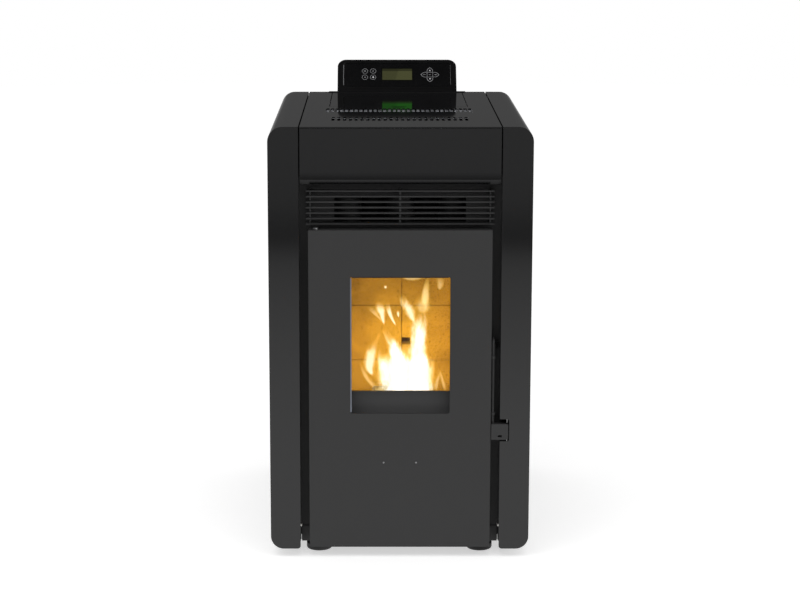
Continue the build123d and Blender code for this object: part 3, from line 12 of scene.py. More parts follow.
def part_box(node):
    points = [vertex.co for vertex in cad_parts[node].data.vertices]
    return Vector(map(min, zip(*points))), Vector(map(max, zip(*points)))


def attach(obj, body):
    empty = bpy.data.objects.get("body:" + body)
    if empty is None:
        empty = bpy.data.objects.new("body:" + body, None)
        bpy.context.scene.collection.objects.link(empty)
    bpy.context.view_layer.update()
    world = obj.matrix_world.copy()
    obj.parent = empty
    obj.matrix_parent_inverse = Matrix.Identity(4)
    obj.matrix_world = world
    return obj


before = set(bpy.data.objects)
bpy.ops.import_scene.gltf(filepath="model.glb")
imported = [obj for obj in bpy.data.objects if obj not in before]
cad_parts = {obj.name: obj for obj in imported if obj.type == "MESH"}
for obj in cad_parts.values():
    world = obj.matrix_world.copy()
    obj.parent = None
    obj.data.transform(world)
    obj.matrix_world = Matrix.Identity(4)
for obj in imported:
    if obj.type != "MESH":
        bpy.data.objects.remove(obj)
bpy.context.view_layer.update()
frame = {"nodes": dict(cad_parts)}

bl_info = {
    "name": "Pellet Stove Finish",
    "version": (1, 0, 0),
    "blender": (4, 5, 0),
    "location": "View3D > Sidebar > Stove",
    "description": "Finishes, fire, small fittings and studio of a pellet stove",
    "category": "Object",
}

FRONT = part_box("front_fascia")[0].y    # front plane of the body
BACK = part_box("rear_panel")[1].y
MM = 0.001


# ---- sizes and colours a user changes
def colour_of(name, description, default):
    """A colour property with its label."""
    return FloatVectorProperty(name=name, description=description, default=default,
                               subtype="COLOR", size=3, min=0.0, max=1.0)


def number_of(name, description, default, low, high, **kind):
    """A number property with its label and limits."""
    return FloatProperty(name=name, description=description, default=default, min=low, max=high, **kind)


def length_of(*given):
    """A length property with its label and limits."""
    return number_of(*given, subtype="DISTANCE", unit="LENGTH")


class StovePaint(PropertyGroup):
    """Colours of the painted and moulded surfaces."""
    casing: colour_of("Casings", "Gloss powder coat of the side casings", (0.0148, 0.0148, 0.0152))
    fascia: colour_of("Fascia", "Gloss powder coat of the upper front", (0.0160, 0.0160, 0.0165))
    top: colour_of("Top", "Gloss powder coat of the top plate and lid", (0.0085, 0.0085, 0.0090))
    door: colour_of("Door", "Matt paint of the door and handle", (0.0372, 0.0372, 0.0376))
    grille: colour_of("Grille", "Satin paint of the grille bars", (0.0370, 0.0370, 0.0375))
    inner: colour_of("Inner sheets", "Matt paint of the chassis sheets", (0.0300, 0.0300, 0.0303))
    frame: colour_of("Door frame", "Matt paint of the inner door frame", (0.0430, 0.0430, 0.0435))
    housing: colour_of("Control housing", "Moulded black of the control housing", (0.0045, 0.0045, 0.0048))
    film: colour_of("Keypad film", "Black of the keypad film", (0.0040, 0.0040, 0.0044))
    display: colour_of("Display", "Lit background of the display", (0.0560, 0.0580, 0.0240))
    # painted reflection: a green that only gloss sees of the display, in place of its own lit colour
    display_reflection: colour_of("Display from below", "What gloss mirrors of the display",
                             (0.0040, 0.1150, 0.0040))
    # the key marks' grey also paints the highlights along the film's edges
    marks: colour_of("Key marks", "Printed outlines of the keys", (0.2700, 0.2700, 0.2800))
    signs: colour_of("Key signs", "Brightest printed signs", (0.6200, 0.6200, 0.6400))


class StoveFire(PropertyGroup):
    """The fire and what it lights."""
    heart: colour_of("Flame heart", "Hottest part of the flames", (1.0, 0.99, 0.95))
    edge: colour_of("Flame edge", "Coolest part of the flames", (0.86, 0.54, 0.06))
    glow: colour_of("Glow", "Light that the fire throws on the tiles", (1.0, 0.68, 0.28))
    power: number_of("Glow power", "Power of the light in the fire chamber", 1.0, 0.0, 20.0, subtype="POWER")
    brightness: number_of("Flame brightness", "Brightness of the flames", 1.04, 0.0, 20.0)


class StoveFittings(PropertyGroup):
    """Sizes of the small fittings."""
    screw: length_of("Screw head", "Radius of a sheet screw's head", 0.0042, 0.001, 0.01)
    ring: length_of("Key ring", "Radius of the ring round a key", 0.0063, 0.002, 0.02)
    line: length_of("Key line", "Width of the printed key outlines", 0.0008, 0.0002, 0.004)
    # width of the two strips in the window, the painted highlight and the painted shade
    bead: length_of("Window bead", "Width of the bead in the window", 0.0026, 0.001, 0.006)
    pellet: length_of("Pellet", "Radius of a wood pellet", 0.003, 0.001, 0.006)


class StoveStudio(PropertyGroup):
    """Floor, light and camera."""
    floor: colour_of("Floor", "Colour of the floor", (0.80, 0.80, 0.80))
    sky: number_of("Sky", "Level of the even light all round", 0.576, 0.0, 4.0)
    key: number_of("Soft light", "Power of the large soft light overhead", 30.0, 0.0, 500.0, subtype="POWER")
    lens: number_of("Lens", "Focal length of the camera in millimetres", 96.1, 10.0, 300.0)


# ---- building node trees
def feed(made, inputs):
    """Gives a node its inputs, each a value or another node's output; returns the node."""
    for key, value in inputs.items():
        if isinstance(value, bpy.types.NodeSocket):
            made.id_data.links.new(value, made.inputs[key])
        else:
            made.inputs[key].default_value = value
    return made


def node(tree, kind, inputs=None, **settings):
    """A shader node with its settings and inputs."""
    made = tree.nodes.new("ShaderNode" + kind)
    for key, value in settings.items():
        setattr(made, key, value)
    return feed(made, inputs or {})


def worked(kind, inputs, **settings):
    """A node in the tree that its inputs come from."""
    tree = next(v.id_data for v in inputs.values() if isinstance(v, bpy.types.NodeSocket))
    return node(tree, kind, inputs, **settings)


def rgba(colour, factor=1.0):
    """A colour with its alpha, lightened or darkened by a factor."""
    return (colour[0] * factor, colour[1] * factor, colour[2] * factor, 1.0)


def calc(operation, a, b=0.0, clamp=False):
    """Output of a Math node."""
    return worked("Math", {0: a, 1: b}, operation=operation, use_clamp=clamp).outputs[0]


def plus(a, b, clamp=False):
    """Sum of two values."""
    return calc("ADD", a, b, clamp)


def less(a, b):
    """Difference of two values."""
    return calc("SUBTRACT", a, b)


def times(a, b, clamp=False):
    """Product of two values."""
    return calc("MULTIPLY", a, b, clamp)


def span(value, low, high, to_low=0.0, to_high=1.0, smooth=False):
    """A value carried from one range to another."""
    kind = "SMOOTHSTEP" if smooth else "LINEAR"
    return worked("MapRange", {"Value": value, "From Min": low, "From Max": high, "To Min": to_low,
                               "To Max": to_high}, interpolation_type=kind).outputs[0]


def cloudy(value, to_low=0.0, to_high=1.0):
    """The middle of a noise carried to a range."""
    return span(value, 0.3, 0.7, to_low, to_high)


def axes(where):
    """The three parts of a place or direction."""
    return worked("SeparateXYZ", {0: where}).outputs


def grey(value):
    """A value as a colour."""
    return worked("CombineColor", {0: value, 1: value, 2: value}).outputs[0]


def mix(factor, a, b, blend="MIX"):
    """Output of a colour mix."""
    return worked("Mix", {0: factor, 6: a, 7: b}, data_type="RGBA", blend_type=blend).outputs[2]


def tinted(colour, value):
    """A colour multiplied by a value or a colour."""
    return mix(1.0, colour, value, "MULTIPLY")


def patchy(value, colour, dark, light):
    """A colour that a noise darkens and lightens."""
    return mix(cloudy(value), rgba(colour, dark), rgba(colour, light))


def ramp(factor, stops):
    """Output of a colour ramp; stops are pairs of place and colour."""
    made = worked("ValToRGB", {0: factor})
    marks = made.color_ramp.elements
    while len(marks) < len(stops):
        marks.new(1.0)
    for mark, (spot, colour) in zip(marks, stops):
        mark.position = spot
        mark.color = colour if isinstance(colour, tuple) else (colour, colour, colour, 1.0)
    return made.outputs[0]


def noise(where, scale, detail=2.0, distortion=0.0):
    """Value of a noise texture."""
    return worked("TexNoise", {"Vector": where, "Scale": scale, "Detail": detail,
                               "Distortion": distortion}).outputs[0]


def place(tree, scale=(1.0, 1.0, 1.0), turn=(0.0, 0.0, 0.0)):
    """Object coordinates, turned and stretched."""
    where = node(tree, "TexCoord").outputs["Object"]
    return node(tree, "Mapping", {"Vector": where, "Rotation": turn, "Scale": scale}).outputs[0]


def join(made, **inputs):
    """Feeds a node's inputs; an underscore stands for a space."""
    return feed(made, {label.replace("_", " "): value for label, value in inputs.items()})


def group(name, **inputs):
    """Turns a function that fills a node group into one that gives the group, built once."""
    def wrap(fill):
        def give():
            made = bpy.data.node_groups.get(name)
            if made:
                return made
            made = bpy.data.node_groups.new(name, "ShaderNodeTree")
            kinds = {1: "Float", 3: "Vector", 4: "Color", "Color": "Color", "Normal": "Vector"}
            for label, value in inputs.items():
                kind = kinds[len(value) if isinstance(value, tuple) else 1]
                made.interface.new_socket(label.replace("_", " "), in_out="INPUT",
                                          socket_type="NodeSocket" + kind).default_value = value
            results = fill(made, made.nodes.new("NodeGroupInput").outputs)
            for label in results:
                made.interface.new_socket(label, in_out="OUTPUT",
                                          socket_type="NodeSocket" + kinds.get(label, "Float"))
            feed(made.nodes.new("NodeGroupOutput"), results)
            return made
        return give
    return wrap


def built(tree, kind, **inputs):
    """Outputs of a node group."""
    return join(node(tree, "Group", node_tree=kind()), **inputs).outputs


MIDDLE = (0.5, 0.5, 0.5, 1.0)
# scales that draw out a metal's fine lines along one direction
ALONG_X = (0.03, 1.0, 1.0)
ALONG_Y = (1.0, 0.03, 1.0)
ALONG_Z = (1.0, 1.0, 0.03)


@group("Powder Coat", Color=(0.02, 0.02, 0.02, 1.0), Roughness=0.3, Grain=900.0, Mottle=0.2, Spread=0.05)
def powder_coat(tree, given):
    """Orange-peel skin of a powder coat, with broad mottling."""
    where = place(tree)
    shift = less(noise(where, 9.0, 4.0), 0.5)
    tone = plus(times(shift, given["Mottle"]), 1.0)
    fleck = span(noise(where, 420.0), 0.62, 0.75, 1.0, 1.12)
    return {"Color": tinted(tinted(given["Color"], grey(tone)), grey(fleck)),
            "Roughness": plus(given["Roughness"], times(shift, given["Spread"]), True),
            "Height": noise(where, given["Grain"], 3.0)}


@group("Worn Edge", Radius=0.001, Amount=0.5)
def worn_edge(tree, given):
    """Soft edges and a mask along them, broken up as wear is."""
    soft = node(tree, "Bevel", {"Radius": given["Radius"]}, samples=4).outputs[0]
    flat = node(tree, "NewGeometry").outputs["Normal"]
    same = node(tree, "VectorMath", {0: soft, 1: flat}, operation="DOT_PRODUCT").outputs["Value"]
    broken = span(noise(place(tree), 60.0, 4.0), 0.35, 0.65, 0.25, 1.0)
    return {"Mask": times(times(span(same, 0.995, 0.90), broken), given["Amount"], True), "Normal": soft}


@group("Drawn Metal", Color=MIDDLE, Roughness=0.35, Spread=0.2, Stretch=ALONG_Z)
def drawn_metal(tree, given):
    """Fine lines of rolled or drawn metal, with stains."""
    where = node(tree, "TexCoord").outputs["Object"]
    along = worked("VectorMath", {0: where, 1: given["Stretch"]}, operation="MULTIPLY").outputs[0]
    lines = noise(along, 900.0, 3.0)
    stain = noise(where, 14.0, 5.0, 0.6)
    tone = cloudy(plus(times(lines, 0.4), times(stain, 0.6)), 0.72, 1.12)
    dull = times(span(stain, 0.35, 0.7), given["Spread"])
    return {"Color": tinted(given["Color"], grey(tone)),
            "Roughness": plus(given["Roughness"], dull, True), "Height": lines}


@group("Zinc Spangle", Color=MIDDLE, Flakes=110.0)
def zinc_spangle(tree, given):
    """Crystal flakes of galvanised sheet."""
    where = place(tree)
    warp = worked("TexNoise", {"Vector": where, "Scale": 30.0}).outputs[1]
    flakes = worked("TexVoronoi", {"Vector": mix(0.06, where, warp), "Scale": given["Flakes"]})
    shine = worked("RGBToBW", {0: flakes.outputs["Color"]}).outputs[0]
    return {"Color": tinted(given["Color"], grey(span(shine, 0.2, 0.8, 0.7, 1.1))),
            "Roughness": span(shine, 0.2, 0.8, 0.28, 0.46), "Height": shine}


@group("Soot", Color=MIDDLE, Clean_Z=0.3, Sooty_Z=0.6, Amount=0.5)
def soot(tree, given):
    """Soot that gathers from one height to another, in clouds."""
    where = place(tree)
    rise = span(axes(where)[2], given["Clean Z"], given["Sooty Z"])
    cloud = span(noise(where, 16.0, 5.0, 0.8), 0.35, 0.68)
    mask = times(plus(times(rise, 0.7), times(cloud, 0.5)), given["Amount"], True)
    return {"Color": mix(mask, given["Color"], (0.010, 0.009, 0.008, 1.0)), "Mask": mask}


# ---- finishes
def principled(tree):
    """A material's surface shader."""
    return next(n for n in tree.nodes if n.type == "BSDF_PRINCIPLED")


def material(fill):
    """Turns a function that fills a surface shader into one that makes a named material."""
    def make(name, *given, **settings):
        made = bpy.data.materials.new(name)
        made.use_nodes = True
        fill(made.node_tree, principled(made.node_tree), *given, **settings)
        return made
    return make


def bump(height, strength, distance, normal=None):
    """Normal of a bump node."""
    given = {"Normal": normal} if normal else {}
    return worked("Bump", {"Strength": strength, "Distance": distance, "Height": height,
                           **given}).outputs[0]


@material
def painted(tree, shader, colour, roughness, grain=1100.0, depth=0.05, mottle=0.2, spread=0.05, wear=0.35,
            edge=0.0012, lift=2.4, painted_light_band=None):
    """Powder-coated sheet with soft, slightly worn edges; painted light can pale it from one height to
    another, to lift a shaded part.
    """
    coat = built(tree, powder_coat, Color=rgba(colour), Roughness=roughness, Grain=grain, Mottle=mottle,
                 Spread=spread)
    rim = built(tree, worn_edge, Radius=edge, Amount=wear)
    shade = mix(rim["Mask"], coat["Color"], rgba(colour, lift))
    if painted_light_band:
        # painted light: paler from one height to another, standing in for light that the shade there keeps
        # off
        high, low, factor = painted_light_band
        shade = mix(span(axes(place(tree))[2], high, low), shade, rgba(colour, factor))
    join(shader, Base_Color=shade, Roughness=coat["Roughness"],
         Normal=bump(coat["Height"], depth, 0.0003, rim["Normal"]))


@material
def metal(tree, shader, colour, roughness, stretch=ALONG_Z, spread=0.2, depth=0.05, sooty=0.0, metallic=1.0):
    """Bare rolled or drawn metal, with soot where the fire reaches it."""
    skin = built(tree, drawn_metal, Color=rgba(colour), Roughness=roughness, Spread=spread, Stretch=stretch)
    shade = skin["Color"]
    if sooty:
        shade = built(tree, soot, Color=shade, Amount=sooty)["Color"]
    join(shader, Base_Color=shade, Roughness=skin["Roughness"], Metallic=metallic,
         Normal=bump(skin["Height"], depth, 0.0002))


@material
def galvanised(tree, shader, colour, flakes=110.0, metallic=1.0):
    """Galvanised sheet with its spangle."""
    skin = built(tree, zinc_spangle, Color=rgba(colour), Flakes=flakes)
    join(shader, Base_Color=skin["Color"], Roughness=skin["Roughness"], Metallic=metallic,
         Normal=bump(skin["Height"], 0.08, 0.0002))


@material
def cast_iron(tree, shader, colour, ash=0.4):
    """Rough casting with ash dust on what faces up."""
    where = place(tree)
    sand, cloud = noise(where, 420.0, 5.0), noise(where, 22.0, 5.0, 0.5)
    up = axes(node(tree, "NewGeometry").outputs["Normal"])[2]
    dust = times(span(up, 0.2, 0.9), cloudy(cloud, 0.2, 1.0))
    shade = mix(times(dust, ash), patchy(cloud, colour, 0.7, 1.4), (0.22, 0.20, 0.18, 1.0))
    join(shader, Base_Color=shade, Roughness=cloudy(sand, 0.55, 0.85), Normal=bump(sand, 0.35, 0.0008))


@material
def moulded(tree, shader, colour, roughness, grain=2600.0, depth=0.04, edge=0.0008):
    """Moulded plastic with a fine erosion texture."""
    where = place(tree)
    cloud = noise(where, 20.0, 3.0)
    rim = built(tree, worn_edge, Radius=edge, Amount=0.3)
    join(shader, Base_Color=mix(rim["Mask"], patchy(cloud, colour, 0.85, 1.15), rgba(colour, 2.0)),
         Roughness=cloudy(cloud, roughness * 0.85, roughness * 1.2),
         Normal=bump(noise(where, grain, 2.0), depth, 0.0002, rim["Normal"]))


@material
def refractory(tree, shader, colour):
    """Pressed refractory tile: speckled, pitted and sooty."""
    where = place(tree)
    grit = noise(where, 260.0, 4.0)
    pits = worked("TexVoronoi", {"Vector": where, "Scale": 190.0}).outputs["Distance"]
    base = patchy(noise(where, 11.0, 5.0, 0.4), colour, 0.82, 1.08)
    fleck = mix(span(grit, 0.56, 0.72), base, rgba(colour, 0.6))
    veil = built(tree, soot, Color=fleck, Clean_Z=0.40, Sooty_Z=0.62, Amount=0.5)
    rim = built(tree, worn_edge, Radius=0.0030, Amount=1.0)
    height = plus(times(grit, 0.5), span(pits, 0.0, 0.35, 0.0, 0.6))
    join(shader, Base_Color=mix(rim["Mask"], veil["Color"], rgba(colour, 0.25)),
         Roughness=cloudy(grit, 0.8, 0.95), Normal=bump(height, 0.3, 0.001), Specular_IOR_Level=0.0)


@material
def braided(tree, shader, colour):
    """Braided glass-fibre rope, with two strand directions over each other."""
    strands = [node(tree, "TexWave", {"Vector": place(tree, turn=(0.0, turn, 0.0)), "Scale": 170.0,
                                      "Distortion": 1.2}).outputs["Fac"] for turn in (0.7, -0.7)]
    weave = calc("MAXIMUM", *strands)
    fuzz = noise(place(tree), 500.0, 3.0)
    shade = mix(span(weave, 0.2, 0.9), rgba(colour, 0.45), rgba(colour, 1.2))
    join(shader, Base_Color=mix(span(fuzz, 0.5, 0.8, 0.0, 0.4), shade, rgba(colour, 1.6)),
         Roughness=cloudy(fuzz, 0.8, 1.0), Normal=bump(weave, 0.6, 0.0008))


@material
def pane_glass(tree, shader):
    """Clear heat-proof glass with a faint haze that thickens downwards."""
    where = place(tree)
    haze = times(span(axes(where)[2], 0.40, 0.30), span(noise(where, 24.0, 4.0), 0.4, 0.7))
    join(shader, Base_Color=mix(haze, (0.99, 0.98, 0.96, 1.0), (0.94, 0.88, 0.76, 1.0)),
         Roughness=span(haze, 0.0, 1.0, 0.0, 0.03), IOR=1.2, Transmission_Weight=1.0)


DISPLAY_HALF = 0.0326                  # half of the display's width
CELL = 0.0011                          # pitch of its liquid crystal cells
CELL_GAP = 0.00012
FACE = math.radians(-49.0)             # turn that lays the cells on its slope


@material
def lit_display(tree, shader, colour, reflections, foot, rise):
    """Liquid crystal display: cells in a black border, with a painted shade along its upper rim, where the
    bezel shades it, a painted slanting reflection, and a painted green reflection that gloss sees.
    """
    where = place(tree)
    part = axes(where)
    up = span(part[2], foot, foot + rise)
    across = span(part[0], -DISPLAY_HALF, DISPLAY_HALF)
    # painted reflection: a slanting band of the display is lighter
    painted_sheen = span(plus(across, times(up, -0.12)), 0.40, 0.48, 0.94, 1.22)
    # painted shade: the display darkens towards its top, where the bezel shades it
    top = span(up, 0.84, 0.79, 0.42, 1.0)
    sides = times(span(across, 0.022, 0.034), span(across, 0.990, 0.980))
    inside = times(sides, span(up, 0.080, 0.100))
    tone = grey(times(times(painted_sheen, top), inside))
    cells = join(node(tree, "TexBrick", offset=0.0), Vector=place(tree, turn=(FACE, 0.0, 0.0)), Scale=1.0,
                 Mortar_Size=CELL_GAP, Brick_Width=CELL, Row_Height=CELL, Color1=rgba((1.0, 1.0, 1.0)),
                 Color2=rgba((0.94, 0.94, 0.94)), Mortar=rgba((0.72, 0.72, 0.72)))
    shade = tinted(tinted(rgba(colour), tone), cells.outputs[0])
    # painted reflection: gloss sees the display green, darker towards its foot
    painted_reflection = tinted(tinted(rgba(reflections), tone), grey(span(up, 0.22, 0.32, 0.12, 1.0)))
    join(shader, Emission_Color=mix(node(tree, "LightPath").outputs["Is Glossy Ray"], shade, painted_reflection),
         Base_Color=mix(0.75, shade, (0.004, 0.004, 0.003, 1.0)),
         Roughness=cloudy(noise(where, 60.0), 0.10, 0.16), Emission_Strength=0.8)


@material
def circuit(tree, shader):
    """Circuit board: green lacquer over copper tracks."""
    where = place(tree)
    cell = worked("TexVoronoi", {"Vector": where, "Scale": 160.0}, distance="MANHATTAN", feature="F2")
    track = span(cell.outputs["Distance"], 0.55, 0.62)
    join(shader, Base_Color=mix(track, (0.004, 0.060, 0.018, 1.0), (0.030, 0.160, 0.050, 1.0)),
         Roughness=cloudy(noise(where, 90.0), 0.2, 0.4), Normal=bump(track, 0.2, 0.0002))


@material
def ink(tree, shader, colour):
    """Printed key marks: slightly uneven grey ink."""
    uneven = noise(place(tree), 700.0, 3.0)
    join(shader, Base_Color=patchy(uneven, colour, 0.75, 1.25), Roughness=cloudy(uneven, 0.35, 0.5))


@material
def flame(tree, shader, fire, density, tip, tail, hot):
    """Flame: white inside, thin and orange at its ragged rim; most of what lies behind shows through."""
    across, along, _ = axes(node(tree, "UVMap", uv_map="Flame").outputs[0])
    lick = less(noise(place(tree, (1.0, 1.0, 0.35)), 75.0, 4.0, 0.4), 0.5)
    curl = less(noise(place(tree, (1.0, 1.0, 0.5)), 210.0, 2.0), 0.5)
    side = times(calc("ABSOLUTE", less(across, 0.5)), 2.0)
    ragged = plus(plus(side, times(lick, 0.8)), times(curl, 0.35))
    rim = times(span(ragged, 0.98, 0.16, smooth=True), span(side, 1.0, 0.82, smooth=True))
    ends = times(span(plus(along, times(lick, 0.35)), 1.0, tip, smooth=True),
                 span(along, -0.001, tail, smooth=True))
    heat = times(times(rim, ends), span(along, 1.0, 0.94))
    shade = ramp(times(heat, hot, True), [(0.0, rgba(fire.edge)), (0.28, (0.93, 0.62, 0.18, 1.0)),
                                          (0.60, (0.97, 0.86, 0.50, 1.0)), (0.95, rgba(fire.heart))])
    join(shader, Emission_Color=shade, Alpha=times(heat, density / 2.0, True),
         Base_Color=(0.0, 0.0, 0.0, 1.0), Specular_IOR_Level=0.0, Emission_Strength=fire.brightness * 2.0)


@material
def ember(tree, shader, fire):
    """Burning pellets: ash skin over a glowing core."""
    crust = noise(place(tree), 190.0, 4.0, 0.5)
    glow = ramp(span(crust, 0.40, 0.68), [(0.0, 0.0), (0.4, (0.9, 0.12, 0.01, 1.0)),
                                          (1.0, rgba(fire.glow))])
    skin = mix(span(crust, 0.3, 0.6), (0.20, 0.18, 0.16, 1.0), (0.03, 0.02, 0.02, 1.0))
    join(shader, Base_Color=skin, Emission_Color=glow, Roughness=cloudy(crust, 0.8, 1.0),
         Normal=bump(crust, 0.4, 0.0006), Emission_Strength=2.0)


def dress(finish, *names):
    """Gives nodes a finish."""
    for name in names:
        for holder in frame["nodes"][name].material_slots:
            holder.material = finish


# ---- building pieces
def mesh_of(name, shape):
    """A bmesh as a mesh."""
    mesh = bpy.data.meshes.new(name)
    shape.to_mesh(mesh)
    shape.free()
    return mesh


def placed(name, data):
    """A new object in the scene."""
    made = bpy.data.objects.new(name, data)
    bpy.context.scene.collection.objects.link(made)
    return made


def piece(name, shape, finish, body="stove_body"):
    """A finished bmesh as an object that rides on a body."""
    made = placed(name, mesh_of(name, shape))
    made.data.materials.append(finish)
    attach(made, body)
    return made


def corners_of(parts):
    """The corners among the parts of a mesh."""
    return [part for part in parts if isinstance(part, bmesh.types.BMVert)]


def screw_head(radius, height):
    """A domed screw head with a cross recess, standing on Z = 0, as a mesh to be repeated."""
    shape = bmesh.new()
    bmesh.ops.create_grid(shape, x_segments=6, y_segments=6, size=radius * 0.7)
    step = radius * 0.7 / 3.0
    cross = [f for f, spot in ((f, [abs(c) for c in f.calc_center_median().xy]) for f in shape.faces)
             if max(spot) < 2.2 * step and min(spot) < step]
    rim = [e for e in shape.edges if e.is_boundary]
    for v in {v for e in rim for v in e.verts}:
        v.co.xy = v.co.xy.normalized() * radius
    skirt = bmesh.ops.extrude_edge_only(shape, edges=rim)["geom"]
    for v in shape.verts:
        v.co.z = height * (1.0 - 0.45 * (v.co.xy.length / radius) ** 2)
    for v in corners_of(skirt):
        v.co.z = 0.0
    sunk = bmesh.ops.extrude_face_region(shape, geom=cross)["geom"]
    for v in corners_of(sunk):
        v.co = Vector((v.co.x * 0.82, v.co.y * 0.82, height * 0.35))
    bmesh.ops.delete(shape, geom=cross, context="FACES_ONLY")
    bmesh.ops.recalc_face_normals(shape, faces=shape.faces)
    return mesh_of("screw_head", shape)


def screws(name, spots, toward, radius, height, finish):
    """A set of like screws in the body as one piece: a head at each spot, facing the given way."""
    head = screw_head(radius, height)
    shape = bmesh.new()
    aim = Vector((0.0, 0.0, 1.0)).rotation_difference(Vector(toward)).to_matrix().to_4x4()
    for count, spot in enumerate(spots):
        before = len(shape.verts)
        shape.from_mesh(head)
        shape.verts.ensure_lookup_table()
        spin = Matrix.Rotation(count * 1.3, 4, "Z")
        bmesh.ops.transform(shape, matrix=Matrix.Translation(spot) @ aim @ spin, verts=shape.verts[before:])
    bpy.data.meshes.remove(head)
    return piece(name, shape, finish)


class StoveOperator:
    """What all the stove's operators share."""
    bl_options = {"REGISTER", "UNDO"}

    @classmethod
    def poll(cls, context):
        return context.scene is not None


# ---- operators
class STOVE_OT_stage(StoveOperator, Operator):
    """Build the floor, the studio light and the camera"""
    bl_idname = "stove.stage"
    bl_label = "Stage"

    LAMP = (-0.5, -1.5, 2.9)           # place of the soft light, which leans forward
    LAMP_TILT = math.radians(24.0)
    CAMERA = (-0.0447, -4.1705, 1.248)
    DOWN = math.radians(11.23)         # how far the camera looks down
    SHIFT = 0.0304                     # the photograph's middle isn't the lens's axis
    SENSOR = 36.0                      # width of the camera's sensor in millimetres
    LIFT = 0.56                        # what the floor gives of itself to whoever looks at it
    BRIGHT_SIDE = 1.6                  # level of the bright side of the room
    REACH = 8.0                        # radius over which the floor's mirrored levels run
    # distance from the stove and level of what its paint mirrors of the floor
    MIRRORED = [(1.0, 1.0), (1.55, 0.94), (2.1, 0.84), (2.8, 0.68), (3.35, 0.55), (3.62, 0.42), (3.86, 0.0),
                (4.25, 0.10), (4.8, 0.25), (6.4, 0.31)]
    # height, from straight down to straight up, and level of what it mirrors of the room
    ROOM = [(0.0, 0.28), (0.46, 0.26), (0.50, 0.088), (0.62, 0.104), (0.80, 0.05), (1.0, 0.024)]

    def execute(self, context):
        scene = context.scene
        look = scene.stove_studio
        scene.view_settings.view_transform = "Standard"
        shape = bmesh.new()
        bmesh.ops.create_circle(shape, cap_ends=True, segments=96, radius=9.0)
        floor = placed("floor", mesh_of("floor", shape))
        floor.data.materials.append(self.floor_finish(look))
        self.sky(scene, look)
        lamp = bpy.data.lights.new("soft_light", "AREA")
        lamp.shape, lamp.size, lamp.size_y, lamp.energy = "RECTANGLE", 3.4, 2.6, look.key
        held = placed("soft_light", lamp)
        held.matrix_world = Matrix.Translation(self.LAMP) @ Matrix.Rotation(self.LAMP_TILT, 4, "X")
        held.visible_camera = held.visible_glossy = False
        self.camera(scene, look)
        return {"FINISHED"}

    def seen(self, path):
        """One for what is looked at, also through glass, and none for light a surface has thrown back."""
        direct = calc("LESS_THAN", calc("MAXIMUM", path["Diffuse Depth"], path["Glossy Depth"]), 0.5)
        return calc("MAXIMUM", path["Is Camera Ray"], times(path["Is Transmission Ray"], direct))

    def floor_finish(self, look):
        """Pale floor that keeps the shadow; the paint mirrors it paler near the stove than far off."""
        made = bpy.data.materials.new("Studio Floor")
        made.use_nodes = True
        tree = made.node_tree
        tree.nodes.clear()
        path = node(tree, "LightPath").outputs
        where = node(tree, "TexCoord").outputs["Object"]
        away = node(tree, "VectorMath", {0: where}, operation="LENGTH").outputs["Value"]
        mirrored = ramp(calc("DIVIDE", away, self.REACH),
                        [(far / self.REACH, level) for far, level in self.MIRRORED])
        grain = grey(cloudy(noise(where, 6.0, 4.0), 0.97, 1.0))
        matt = node(tree, "BsdfDiffuse", {0: tinted(rgba(look.floor), grain)}).outputs[0]
        lift = node(tree, "Emission", {1: times(self.seen(path), self.LIFT)}).outputs[0]
        plain = node(tree, "AddShader", {0: matt, 1: lift}).outputs[0]
        gloss = node(tree, "Emission", {0: mirrored}).outputs[0]
        both = node(tree, "MixShader", {0: path["Is Glossy Ray"], 1: plain, 2: gloss}).outputs[0]
        node(tree, "OutputMaterial", {0: both})
        return made

    def sky(self, scene, look):
        """Even light for matt surfaces; a dim room with one bright side for gloss; white behind."""
        scene.world = bpy.data.worlds.new("Studio")
        scene.world.use_nodes = True
        tree = scene.world.node_tree
        tree.nodes.clear()
        path = node(tree, "LightPath").outputs
        way = axes(node(tree, "TexCoord").outputs["Generated"])
        side = times(span(way[0], 0.35, 0.75, smooth=True), span(way[2], 0.75, 0.35, smooth=True))
        studio = plus(ramp(span(way[2], -1.0, 1.0), self.ROOM), times(side, self.BRIGHT_SIDE))
        glossy = path["Is Glossy Ray"]
        level = plus(times(glossy, studio), times(less(1.0, glossy), look.sky))
        level = calc("MAXIMUM", level, self.seen(path))
        white = node(tree, "Background", {0: rgba((1.0, 1.0, 1.0)), 1: level}).outputs[0]
        node(tree, "OutputWorld", {0: white})

    def camera(self, scene, look):
        """Camera at the photograph's viewing angle."""
        lens = bpy.data.cameras.new("camera")
        lens.lens, lens.sensor_width, lens.shift_x = look.lens, self.SENSOR, self.SHIFT
        scene.camera = placed("camera", lens)
        scene.camera.location = self.CAMERA
        scene.camera.rotation_euler = (math.radians(90.0) - self.DOWN, 0.0, 0.0)


